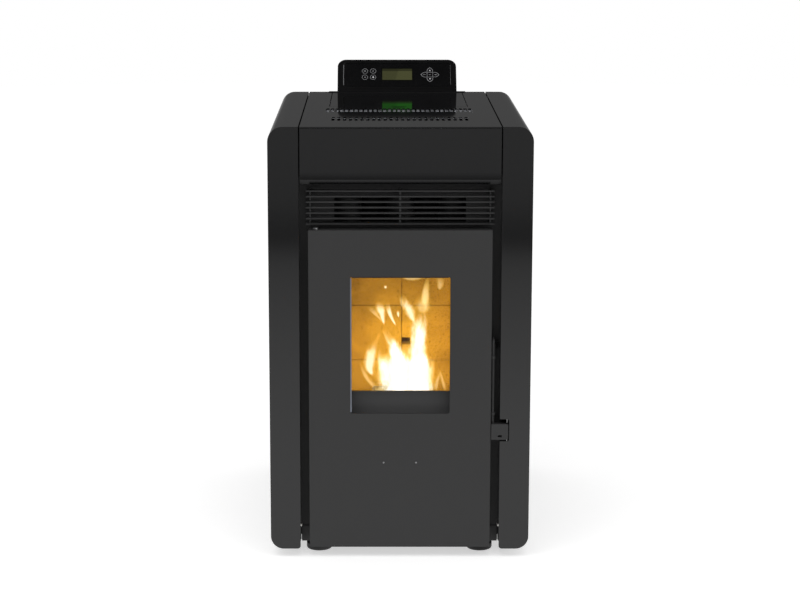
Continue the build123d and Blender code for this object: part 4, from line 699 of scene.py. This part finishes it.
class STOVE_OT_casings(StoveOperator, Operator):
    """Finish the side casings and the fascia, and set the screws of their front flanges"""
    bl_idname = "stove.casings"
    bl_label = "Casings"

    NOTCH = (0.223, 0.265, 0.060)      # lower and upper edge of the grip's notch, and its strip's depth
    FOOT = (0.7240, 0.7060)            # heights over which the fascia's foot turns from the light and is painted darker, a painted shade
    FOOT_SHADE = 0.85                        # how metallic the paint is under that height, which darkens it as a painted shade
    SEAM = 0.0016                      # reach on both sides of the notch's edges
    SCREW = (20.0, 57.8)               # of the front flange: mm behind the front, mm above the floor

    def execute(self, context):
        paint, small = context.scene.stove_paint, context.scene.stove_fittings
        casing = painted("Casing Paint", paint.casing, 0.07, depth=0.02, mottle=0.12, spread=0.02)
        self.close_seams(casing.node_tree)
        dress(casing, "left_casing", "right_casing")
        fascia = painted("Fascia Paint", paint.fascia, 0.09, depth=0.02, mottle=0.12, spread=0.02)
        self.shade_fascia_foot(fascia.node_tree)
        dress(fascia, "front_fascia")
        plated = metal("Flange Screw", (0.62, 0.61, 0.58), 0.28, spread=0.1)
        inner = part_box("right_casing")[0].x
        y, z = FRONT + self.SCREW[0] * MM, self.SCREW[1] * MM
        for name, side in (("flange_screw_right", 1), ("flange_screw_left", -1)):
            screws(name, [(side * inner, y, z)], (-side, 0, 0), small.screw, 3.0 * MM, plated)
        return {"FINISHED"}

    def close_seams(self, tree):
        """No soft edge where the sheet runs on past the notch."""
        low, high, deep = self.NOTCH
        _, y, z = axes(place(tree))

        def near(value, spot, reach=self.SEAM):
            return calc("LESS_THAN", calc("ABSOLUTE", less(value, spot)), reach)
        across = calc("MAXIMUM", near(z, low), near(z, high))
        along = times(near(y, FRONT + deep), near(z, (low + high) / 2.0, (high - low) / 2.0))
        rim = next(n for n in tree.nodes if n.type == "GROUP" and n.node_tree == worn_edge())
        soft = rim.inputs["Radius"].default_value
        feed(rim, {"Radius": span(calc("MAXIMUM", across, along), 0.0, 1.0, soft, 0.0)})

    def shade_fascia_foot(self, tree):
        """Painted shade: the foot of the fascia turns metallic towards its bend, so it mirrors less and
        looks darker.
        """
        join(principled(tree), Metallic=span(axes(place(tree))[2], *self.FOOT, 0.0, self.FOOT_SHADE))


class STOVE_OT_top(StoveOperator, Operator):
    """Finish the top plate, the hopper lid and its hinge"""
    bl_idname = "stove.top"
    bl_label = "Top and lid"

    def execute(self, context):
        paint = context.scene.stove_paint
        dress(painted("Top Paint", paint.top, 0.055, depth=0.008, mottle=0.12, spread=0.01, edge=0.0008),
              "top_plate", "hopper_lid", "lid_hinge_fixed", "lid_hinge_leaf")
        return {"FINISHED"}


class STOVE_OT_chassis(StoveOperator, Operator):
    """Finish the recessed front plate, the tray, the frames, the rear panel and the grille"""
    bl_idname = "stove.chassis"
    bl_label = "Chassis and grille"

    SCREWS_UP = (0.03, 0.22, 0.41, 0.60, 0.79, 0.965)      # shares of the rear panel's height
    SCREWS_ACROSS = (-160.0, 160.0)                        # mm from its middle, along its head

    def execute(self, context):
        paint, small = context.scene.stove_paint, context.scene.stove_fittings
        inner = painted("Inner Paint", paint.inner, 0.55, depth=0.15, mottle=0.4, wear=0.2, edge=0.0008)
        dress(inner, "body_front", "base_tray", "rear_panel")
        dress(galvanised("Frame Zinc", (0.52, 0.53, 0.54)), "side_frames")
        dress(painted("Grille Paint", paint.grille, 0.40, depth=0.08, edge=0.0008), "air_grille")
        low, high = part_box("rear_panel")
        spots = [(side * (high.x - 9.0 * MM), BACK, low.z + share * (high.z - low.z))
                 for side in (-1, 1) for share in self.SCREWS_UP]
        spots += [(x * MM, BACK, high.z - 10.0 * MM) for x in self.SCREWS_ACROSS]
        screws("rear_screws", spots, (0, 1, 0), small.screw * 0.9, 1.9 * MM,
               metal("Rear Screw", (0.30, 0.30, 0.30), 0.32, spread=0.1))
        return {"FINISHED"}


class STOVE_OT_door(StoveOperator, Operator):
    """Finish the door, its inner frame, hinges, handle, latch and seals"""
    bl_idname = "stove.door"
    bl_label = "Door"

    def execute(self, context):
        paint = context.scene.stove_paint
        matt = painted("Door Paint", paint.door, 0.62, grain=1500.0, depth=0.12, mottle=0.10, wear=0.3,
                       edge=0.0016, lift=1.5)
        dress(matt, "door_panel", "door_handle")
        # the inner frame is painted paler towards its foot, a painted light against the shade of the door's
        # recess
        dress(painted("Frame Paint", paint.frame, 0.55, grain=1300.0, depth=0.12, mottle=0.25, edge=0.001,
                      painted_light_band=(0.308, 0.272, 2.3)), "door_frame")
        dress(metal("Pin Steel", (0.45, 0.45, 0.46), 0.32), "hinge_upper", "hinge_lower", "latch_keeper")
        dress(metal("Rivet Steel", (0.40, 0.40, 0.41), 0.30, spread=0.1), "door_rivets")
        dress(metal("Clip Steel", (0.50, 0.49, 0.48), 0.36, sooty=0.25), "glass_clips")
        dress(braided("Seal Rope", (0.075, 0.075, 0.078)), "door_seal", "glass_seal")
        return {"FINISHED"}


class STOVE_OT_pane(StoveOperator, Operator):
    """Finish the pane and lay two strips in the window: a pale steel one on the left, a painted highlight
    with some real reflection, and a black one under the head, a painted shade
    """
    bl_idname = "stove.pane"
    bl_label = "Pane and beads"

    WINDOW = (-0.0915, 0.0915, 0.2760, 0.5320)     # its sides, foot and head

    def execute(self, context):
        dress(pane_glass("Stove Glass"), "door_glass")
        left, right, foot, head = self.WINDOW
        wide = context.scene.stove_fittings.bead
        # painted highlight, partly real: the pale steel strip on the window's left stands where light
        # catches the edge, and it also mirrors the bright side of the room
        self.bead("bead_side_highlight", (left, left + wide), (foot + wide, head - wide),
                  metal("Bead Steel", (0.26, 0.28, 0.33), 0.42, metallic=0.35, depth=0.02))
        # painted shade: the black strip under the window's head stands where the edge is in shade
        self.bead("bead_head_shade", (left + wide, right - wide), (head - wide * 0.7, head),
                  painted("Bead Black", (0.010, 0.010, 0.010), 0.6, edge=0.0003))
        return {"FINISHED"}

    def bead(self, name, across, up, finish):
        """A thin strip along one side of the window."""
        shape = bmesh.new()
        bmesh.ops.create_cube(shape, size=1.0)
        deep = (FRONT + 0.3 * MM, FRONT + 1.5 * MM)
        for v in shape.verts:
            v.co = Vector([pair[0] if c < 0 else pair[1] for c, pair in zip(v.co, (across, deep, up))])
        bmesh.ops.bevel(shape, geom=shape.edges[:], offset=0.3 * MM, offset_type="OFFSET", segments=2,
                        profile=0.5, affect="EDGES", material=-1)
        bmesh.ops.recalc_face_normals(shape, faces=shape.faces)
        piece(name, shape, finish, "door")


class STOVE_OT_fire_chamber(StoveOperator, Operator):
    """Finish the fire chamber: steel box, tiles, baffle, pot, ash drawer and igniter"""
    bl_idname = "stove.fire_chamber"
    bl_label = "Fire chamber"

    def execute(self, context):
        scorched = metal("Scorched Steel", (0.26, 0.15, 0.07), 0.6, sooty=0.5, spread=0.25, depth=0.1,
                         metallic=0.4)
        dress(scorched, "firebox")
        dress(refractory("Refractory", (0.65, 0.455, 0.07)), "back_tiles", "side_tiles", "baffle_plate")
        dress(cast_iron("Pot Iron", (0.06, 0.05, 0.045)), "burn_pot", "pot_holder")
        dress(metal("Drawer Steel", (0.34, 0.33, 0.32), 0.42, stretch=ALONG_X, sooty=0.35), "ash_drawer")
        dress(metal("Igniter Steel", (0.35, 0.30, 0.27), 0.38, stretch=ALONG_Y), "igniter")
        return {"FINISHED"}


class STOVE_OT_flames(StoveOperator, Operator):
    """Lay the burning pellets and raise the flames over them"""
    bl_idname = "stove.flames"
    bl_label = "Fire"

    # share of the width at the foot, height of the widest point, share of the width at the tip
    CORE = (0.85, 0.40, 0.45)
    BLUNT = (0.90, 0.45, 0.80)
    POINT = (0.80, 0.30, 0.04)
    LEAF = (0.10, 0.45, 0.06)
    TORN = (0.05, 0.68, 0.40)

    # foot, middle and tip (X and Z), width, depth behind the front, all in millimetres, and the outline
    HEART = [
        (-5.3, 278.7, -8.3, 318.6, -16.8, 358.3, 94.0, 140.0, CORE),
        (20.4, 277.3, 19.4, 319.1, 14.6, 362.6, 85.6, 146.0, CORE),
        (48.0, 275.8, 46.3, 317.7, 41.5, 367.0, 50.2, 152.0, CORE),
        (35.4, 276.7, 36.6, 354.7, 38.1, 433.6, 47.3, 156.0, BLUNT),
        (-1.9, 282.1, -2.1, 344.6, -24.6, 397.3, 47.1, 134.0, POINT),
    ]
    TONGUE = [
        (-48.1, 319.5, -56.3, 345.9, -40.7, 393.9, 30.8, 128.0, LEAF),
        (-25.0, 301.6, -31.5, 335.6, -36.1, 367.6, 32.3, 132.0, CORE),
        (-28.2, 404.4, -33.6, 430.0, -39.2, 449.9, 21.4, 180.0, TORN),
        (-5.0, 403.5, -16.2, 425.3, -22.2, 447.0, 13.1, 180.0, TORN),
        (29.8, 410.1, 19.0, 434.7, 7.1, 460.8, 26.2, 180.0, LEAF),
        (-1.0, 421.1, -1.8, 428.3, -2.1, 435.1, 7.7, 180.0, LEAF),
        (-26.0, 475.6, -26.0, 478.9, -26.0, 482.1, 7.8, 190.0, BLUNT),
    ]
    WISP = [
        (59.3, 288.2, 61.9, 322.4, 70.4, 362.2, 15.0, 148.0, POINT),
        (51.3, 428.9, 51.2, 451.6, 55.2, 502.6, 25.4, 190.0, POINT),
        (49.3, 440.9, 50.2, 461.6, 54.2, 502.6, 19.0, 188.0, LEAF),
        (14.0, 304.0, 14.0, 338.0, 14.0, 371.0, 46.0, 178.0, CORE),
        (-38.0, 293.1, -61.8, 317.6, -75.6, 353.4, 13.5, 120.0, POINT),
        (-57.3, 286.0, -42.6, 291.3, -24.2, 298.3, 17.6, 118.0, CORE),
        (44.9, 422.0, 46.7, 441.0, 44.8, 465.6, 44.8, 196.0, LEAF),
        (77.6, 471.5, 77.9, 483.8, 79.3, 504.5, 23.9, 190.0, TORN),
        (-28.6, 404.2, -44.0, 425.5, -60.7, 438.0, 12.5, 190.0, TORN),
        (6.1, 437.4, 4.2, 449.8, 2.0, 463.0, 10.1, 190.0, LEAF),
        (68.0, 283.6, 72.5, 310.1, 79.2, 329.0, 10.0, 128.0, POINT),
        (89.2, 283.6, 80.8, 313.9, 76.6, 330.9, 8.8, 128.0, POINT),
        (2.0, 494.9, 28.0, 494.0, 58.0, 497.8, 15.0, 200.0, LEAF),
    ]
    BULGE = 9.0                        # how far a flame's middle stands in front of its sides
    # name, place (X, depth behind the front, Z) and share of the glow's power
    LAMPS = (("fire_light_left", (-54.0, 112.0, 312.0), 0.34),
             ("fire_light_right", (58.0, 112.0, 312.0), 0.34),
             ("fire_light_high", (16.0, 116.0, 410.0), 0.32))

    def execute(self, context):
        fire, small = context.scene.stove_fire, context.scene.stove_fittings
        self.raise_flames("flame_heart", self.HEART, flame("Flame Heart", fire, 1.20, 0.60, 0.02, 1.10))
        self.raise_flames("flame_tongues", self.TONGUE, flame("Flame Tongue", fire, 0.95, 0.50, 0.16, 0.75))
        self.raise_flames("flame_wisps", self.WISP, flame("Flame Wisp", fire, 0.46, 0.45, 0.25, 0.42))
        self.lay_pellets(small.pellet, ember("Ember", fire))
        for name, (x, deep, z), share in self.LAMPS:
            lamp = bpy.data.lights.new(name, "POINT")
            lamp.color, lamp.energy, lamp.shadow_soft_size = fire.glow, fire.power * share, 0.03
            held = placed(name, lamp)
            held.location = (x * MM, FRONT + deep * MM, z * MM)
            held.visible_camera = held.visible_glossy = held.visible_transmission = False
        return {"FINISHED"}

    def raise_flames(self, name, flames, finish):
        """Bends one grid along each flame's path, bulging to the front and narrowing to its ends."""
        shape = bmesh.new()
        shape.loops.layers.uv.new("Flame")
        for *path, width, depth, (foot, peak, point) in flames:
            a, b, c = (Vector(path[i:i + 2]) for i in (0, 2, 4))
            pull = b * 2.0 - (a + c) / 2.0
            grid = bmesh.ops.create_grid(shape, x_segments=8, y_segments=24, size=1.0, calc_uvs=True)
            for v in grid["verts"]:
                u, t = v.co.x, (v.co.y + 1.0) / 2.0
                s = t * 1.16 - 0.02            # runs on past the tip, where the flame fades
                spot = a * (1 - s) ** 2 + pull * 2 * (1 - s) * s + c * s ** 2
                run = ((pull - a) * (1 - s) + (c - pull) * s).normalized()
                if t < peak:
                    share = foot + (1.0 - foot) * math.sin(math.pi / 2.0 * t / peak)
                else:
                    share = point + (1.0 - point) * math.cos(math.pi / 2.0 * (t - peak) / (1.0 - peak))
                half = width / 2.0 * share
                spot = spot + Vector((run.y, -run.x)) * u * half
                deep = depth - self.BULGE * (1.0 - u * u)
                v.co = Vector((spot.x * MM, FRONT + deep * MM, spot.y * MM))
        made = piece(name, shape, finish)
        made.visible_diffuse = False
        for face in made.data.polygons:
            face.use_smooth = True

    def lay_pellets(self, radius, finish):
        """A heap of pellets in the pot, each a short rod with broken ends."""
        chance = random.Random(7)
        shape = bmesh.new()
        low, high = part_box("burn_pot")
        centre = (low + high) / 2.0
        for layer in range(3):
            for _ in range(34 - 8 * layer):
                made = bmesh.ops.create_cone(shape, cap_ends=True, segments=8, radius1=radius,
                                             radius2=radius * 0.92, depth=chance.uniform(3.5, 6.0) * radius)
                turn = Matrix.Rotation(chance.uniform(0, 6.28), 4, "Z") @ Matrix.Rotation(
                    math.radians(90 + chance.uniform(-24, 24)), 4, "X")
                reach = 0.029 - 0.004 * layer
                spot = (centre.x + chance.uniform(-reach, reach), centre.y + chance.uniform(-reach, reach),
                        low.z + (9.0 + 5.4 * layer) * MM)
                bmesh.ops.transform(shape, matrix=Matrix.Translation(spot) @ turn, verts=made["verts"])
        bmesh.ops.recalc_face_normals(shape, faces=shape.faces)
        piece("burning_pellets", shape, finish)


class STOVE_OT_smoke_path(StoveOperator, Operator):
    """Finish the heat exchanger, the smoke path, its fan and the spigots"""
    bl_idname = "stove.smoke_path"
    bl_label = "Smoke path"

    def execute(self, context):
        dress(metal("Pipe Steel", (0.10, 0.10, 0.10), 0.55, sooty=0.15), "exchanger_pipes")
        dress(metal("Duct Steel", (0.42, 0.41, 0.40), 0.38, stretch=(1.0, 0.05, 0.05)), "smoke_collector",
              "fume_duct", "extractor_housing", "extractor_impeller", "air_intake")
        dress(galvanised("Hood Zinc", (0.24, 0.24, 0.25)), "air_hood")
        dress(metal("Motor Steel", (0.30, 0.30, 0.31), 0.34), "extractor_motor", "blower_motor",
              "auger_motor")
        dress(painted("Flue Enamel", (0.016, 0.016, 0.017), 0.45, grain=700.0, depth=0.2, mottle=0.3),
              "flue_pipe")
        dress(galvanised("Blower Zinc", (0.55, 0.56, 0.57), 150.0), "blower_housing")
        dress(metal("Rotor Aluminium", (0.70, 0.71, 0.72), 0.30, stretch=ALONG_X), "blower_rotor")
        return {"FINISHED"}


class STOVE_OT_pellet_feed(StoveOperator, Operator):
    """Finish the hopper, its guard and seal, the auger and the chute"""
    bl_idname = "stove.pellet_feed"
    bl_label = "Pellet feed"

    def execute(self, context):
        # painted reflection: the hopper is near white and barely metallic, so the vent slots in the top show
        # it as bright as zinc mirroring the room
        dress(galvanised("Hopper Zinc", (0.92, 0.94, 1.0), metallic=0.1), "hopper")
        dress(braided("Lid Seal", (0.05, 0.05, 0.05)), "hopper_seal")
        dress(metal("Guard Wire", (0.50, 0.50, 0.50), 0.30, stretch=ALONG_X), "hopper_guard")
        dress(metal("Auger Steel", (0.43, 0.42, 0.41), 0.36, stretch=(0.6, 0.6, 0.6)), "auger_tube",
              "auger_screw")
        dress(metal("Chute Steel", (0.36, 0.21, 0.10), 0.50, sooty=0.3, metallic=0.4), "pellet_chute")
        return {"FINISHED"}


class STOVE_OT_controls(StoveOperator, Operator):
    """Finish the control panel, print its key marks and paint highlights along the film's edges"""
    bl_idname = "stove.controls"
    bl_label = "Controls"

    LEAN = math.radians(41.0)          # how far the film leans back from upright
    FILM = (641.5, 806.0)              # foot of its slope: mm behind the front, mm above the floor
    PROUD = 0.06 * MM                  # how far the print stands off the film
    TAPER = 9.5                        # length in mm over which a field's ends narrow, and how fully
    FULL = 2.4

    # on the film, in millimetres along X and up the slope
    KEYS = ((-67.2, 53.1), (-50.1, 53.1), (-67.2, 37.3), (-50.1, 37.3))
    CROSS = (69.2, 43.8)
    DROP = ((-1.8, -2.0), (1.8, -2.0), (2.0, -0.6), (1.2, 1.2), (0.0, 2.8), (-1.2, 1.2), (-2.0, -0.6))
    ARROW = ((-2.2, 9.2), (2.2, 9.2), (0.0, 12.6))
    # middle, half width and half height of each bar; the last two are painted highlights along the film's
    # left and right edges
    BARS = ((-67.2, 53.1, 0.5, 2.2), (-68.8, 53.1, 0.5, 1.3), (-65.6, 53.1, 0.5, 1.3),
            (-50.1, 54.5, 2.0, 0.4), (-50.1, 51.7, 2.0, 0.4), (-67.2, 36.6, 2.0, 0.5),
            (-67.2, 38.6, 0.5, 1.0), (57.2, 43.8, 2.6, 0.5), (81.2, 43.8, 2.6, 0.5), (81.2, 43.8, 0.5, 1.6),
            (69.2, 43.8, 2.4, 0.5), (-111.9, 44.5, 0.45, 27.0), (112.2, 44.5, 0.15, 27.0))

    def execute(self, context):
        paint, small = context.scene.stove_paint, context.scene.stove_fittings
        dress(moulded("Housing Black", paint.housing, 0.30, edge=0.0022), "control_housing")
        dress(moulded("Keypad Film", paint.film, 0.22, grain=3200.0, depth=0.02, edge=0.0006),
              "control_panel")
        low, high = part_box("display_screen")
        dress(lit_display("Display", paint.display, paint.display_reflection, low.z, high.z - low.z),
              "display_screen")
        dress(circuit("Board Lacquer"), "control_board")
        width, radius = small.line / MM, small.ring / MM
        marks = bmesh.new()
        for u, v in self.KEYS:
            self.outline(marks, [[(u + r * math.cos(a * math.tau / 40), v + r * math.sin(a * math.tau / 40))
                                  for a in range(40)] for r in (radius, radius - width)])
        for quarter, reach in enumerate((19.5, 18.7)):
            self.pod(marks, reach, 6.4, quarter, width)
        for u, v, wide, high in self.BARS:
            self.mark(marks, (u, v), ((-1, -1), (1, -1), (1, 1), (-1, 1)), wide, high)
        self.print_marks("key_marks_and_edge_highlights", marks, ink("Key Ink", paint.marks))
        signs = bmesh.new()
        self.mark(signs, self.KEYS[3], self.DROP)
        for way in (1, -1):
            self.mark(signs, self.CROSS, self.ARROW, high=way)
        self.print_marks("key_signs", signs, ink("Sign Ink", paint.signs))
        return {"FINISHED"}

    def print_marks(self, name, shape, finish):
        """Lays flat marks on the film as a thin print."""
        bmesh.ops.transform(shape, matrix=self.film_plane(), verts=shape.verts)
        bmesh.ops.recalc_face_normals(shape, faces=shape.faces)
        made = piece(name, shape, finish)
        made.visible_glossy = False
        thick = made.modifiers.new("Ink thickness", "SOLIDIFY")
        thick.thickness, thick.offset = 0.00008, 0.0

    def film_plane(self):
        """From film coordinates, along X and up the slope, to the place of the film."""
        slope = Vector((0.0, math.sin(self.LEAN), math.cos(self.LEAN)))
        away = Vector((0.0, -math.cos(self.LEAN), math.sin(self.LEAN)))
        foot = Vector((0.0, FRONT + self.FILM[0] * MM, self.FILM[1] * MM)) - away * 0.6 * MM
        return Matrix.Translation(foot) @ Matrix((
            (1.0, 0.0, 0.0, 0.0), (0.0, slope.y, away.y, 0.0), (0.0, slope.z, away.z, 0.0),
            (0.0, 0.0, 0.0, 1.0)))

    def row(self, shape, spots):
        """Corners at spots of the film."""
        return [shape.verts.new((x * MM, y * MM, self.PROUD)) for x, y in spots]

    def mark(self, shape, middle, spots, wide=1.0, high=1.0):
        """A thin flat mark round a middle."""
        shape.faces.new(self.row(shape, [(middle[0] + x * wide, middle[1] + y * high) for x, y in spots]))

    def outline(self, shape, rows):
        """A thin flat outline between two closed rows of spots."""
        outer, inner = (self.row(shape, spots) for spots in rows)
        for i in range(len(outer)):
            shape.faces.new((outer[i - 1], outer[i], inner[i], inner[i - 1]))

    def pod(self, shape, reach, half, quarter, width):
        """A long field with pointed ends, the outline of two keys of the cross."""
        turn = Matrix.Rotation(quarter * math.pi / 2.0, 2)
        rows = []
        for inset in (0.0, width):
            long, wide, spots = reach - 1.5 * inset, half - inset, []
            for count in range(48):
                along = math.cos(count * math.tau / 48)
                taper = max(0.0, (abs(along) * long - (long - self.TAPER)) / self.TAPER)
                across = wide * (1.0 - taper ** self.FULL) * (1 if count < 24 else -1)
                spots.append(Vector(self.CROSS) + turn @ Vector((along * long, across)))
            rows.append(spots)
        self.outline(shape, rows)


class STOVE_OT_rear_fittings(StoveOperator, Operator):
    """Finish the mains inlet, its switch and the feet"""
    bl_idname = "stove.rear_fittings"
    bl_label = "Mains inlet and feet"

    def execute(self, context):
        dress(moulded("Inlet Black", (0.010, 0.010, 0.010), 0.42), "power_inlet")
        dress(moulded("Switch Black", (0.014, 0.014, 0.014), 0.30), "power_switch")
        dress(moulded("Foot Rubber", (0.0042, 0.0042, 0.0042), 0.60, grain=1400.0, depth=0.12),
              "foot_front_left", "foot_front_right", "foot_back_left", "foot_back_right")
        return {"FINISHED"}


# ---- add-on
STEPS = (STOVE_OT_stage, STOVE_OT_casings, STOVE_OT_top, STOVE_OT_chassis, STOVE_OT_door, STOVE_OT_pane,
         STOVE_OT_fire_chamber, STOVE_OT_flames, STOVE_OT_smoke_path, STOVE_OT_pellet_feed,
         STOVE_OT_controls, STOVE_OT_rear_fittings)
SETTINGS = {"stove_paint": StovePaint, "stove_fire": StoveFire, "stove_fittings": StoveFittings,
            "stove_studio": StoveStudio}


class STOVE_PT_panel(Panel):
    """Sidebar panel with the stove's steps and settings"""
    bl_idname = "STOVE_PT_panel"
    bl_label = "Pellet Stove"
    bl_space_type = "VIEW_3D"
    bl_region_type = "UI"
    bl_category = "Stove"

    def draw(self, context):
        for step in STEPS:
            self.layout.operator(step.bl_idname)
        for name, kind in SETTINGS.items():
            held = getattr(context.scene, name)
            for label in kind.__annotations__:
                self.layout.prop(held, label)


KINDS = (*SETTINGS.values(), *STEPS, STOVE_PT_panel)


def register():
    for kind in KINDS:
        bpy.utils.register_class(kind)
    for name, kind in SETTINGS.items():
        setattr(bpy.types.Scene, name, PointerProperty(type=kind))


def unregister():
    for name in SETTINGS:
        delattr(bpy.types.Scene, name)
    for kind in reversed(KINDS):
        bpy.utils.unregister_class(kind)


def main():
    """Builds the stove's looks in order."""
    register()
    bpy.ops.stove.stage()
    bpy.ops.stove.casings()
    bpy.ops.stove.top()
    bpy.ops.stove.chassis()
    bpy.ops.stove.door()
    bpy.ops.stove.pane()
    bpy.ops.stove.fire_chamber()
    bpy.ops.stove.flames()
    bpy.ops.stove.smoke_path()
    bpy.ops.stove.pellet_feed()
    bpy.ops.stove.controls()
    bpy.ops.stove.rear_fittings()


if __name__ == "__main__":
    main()
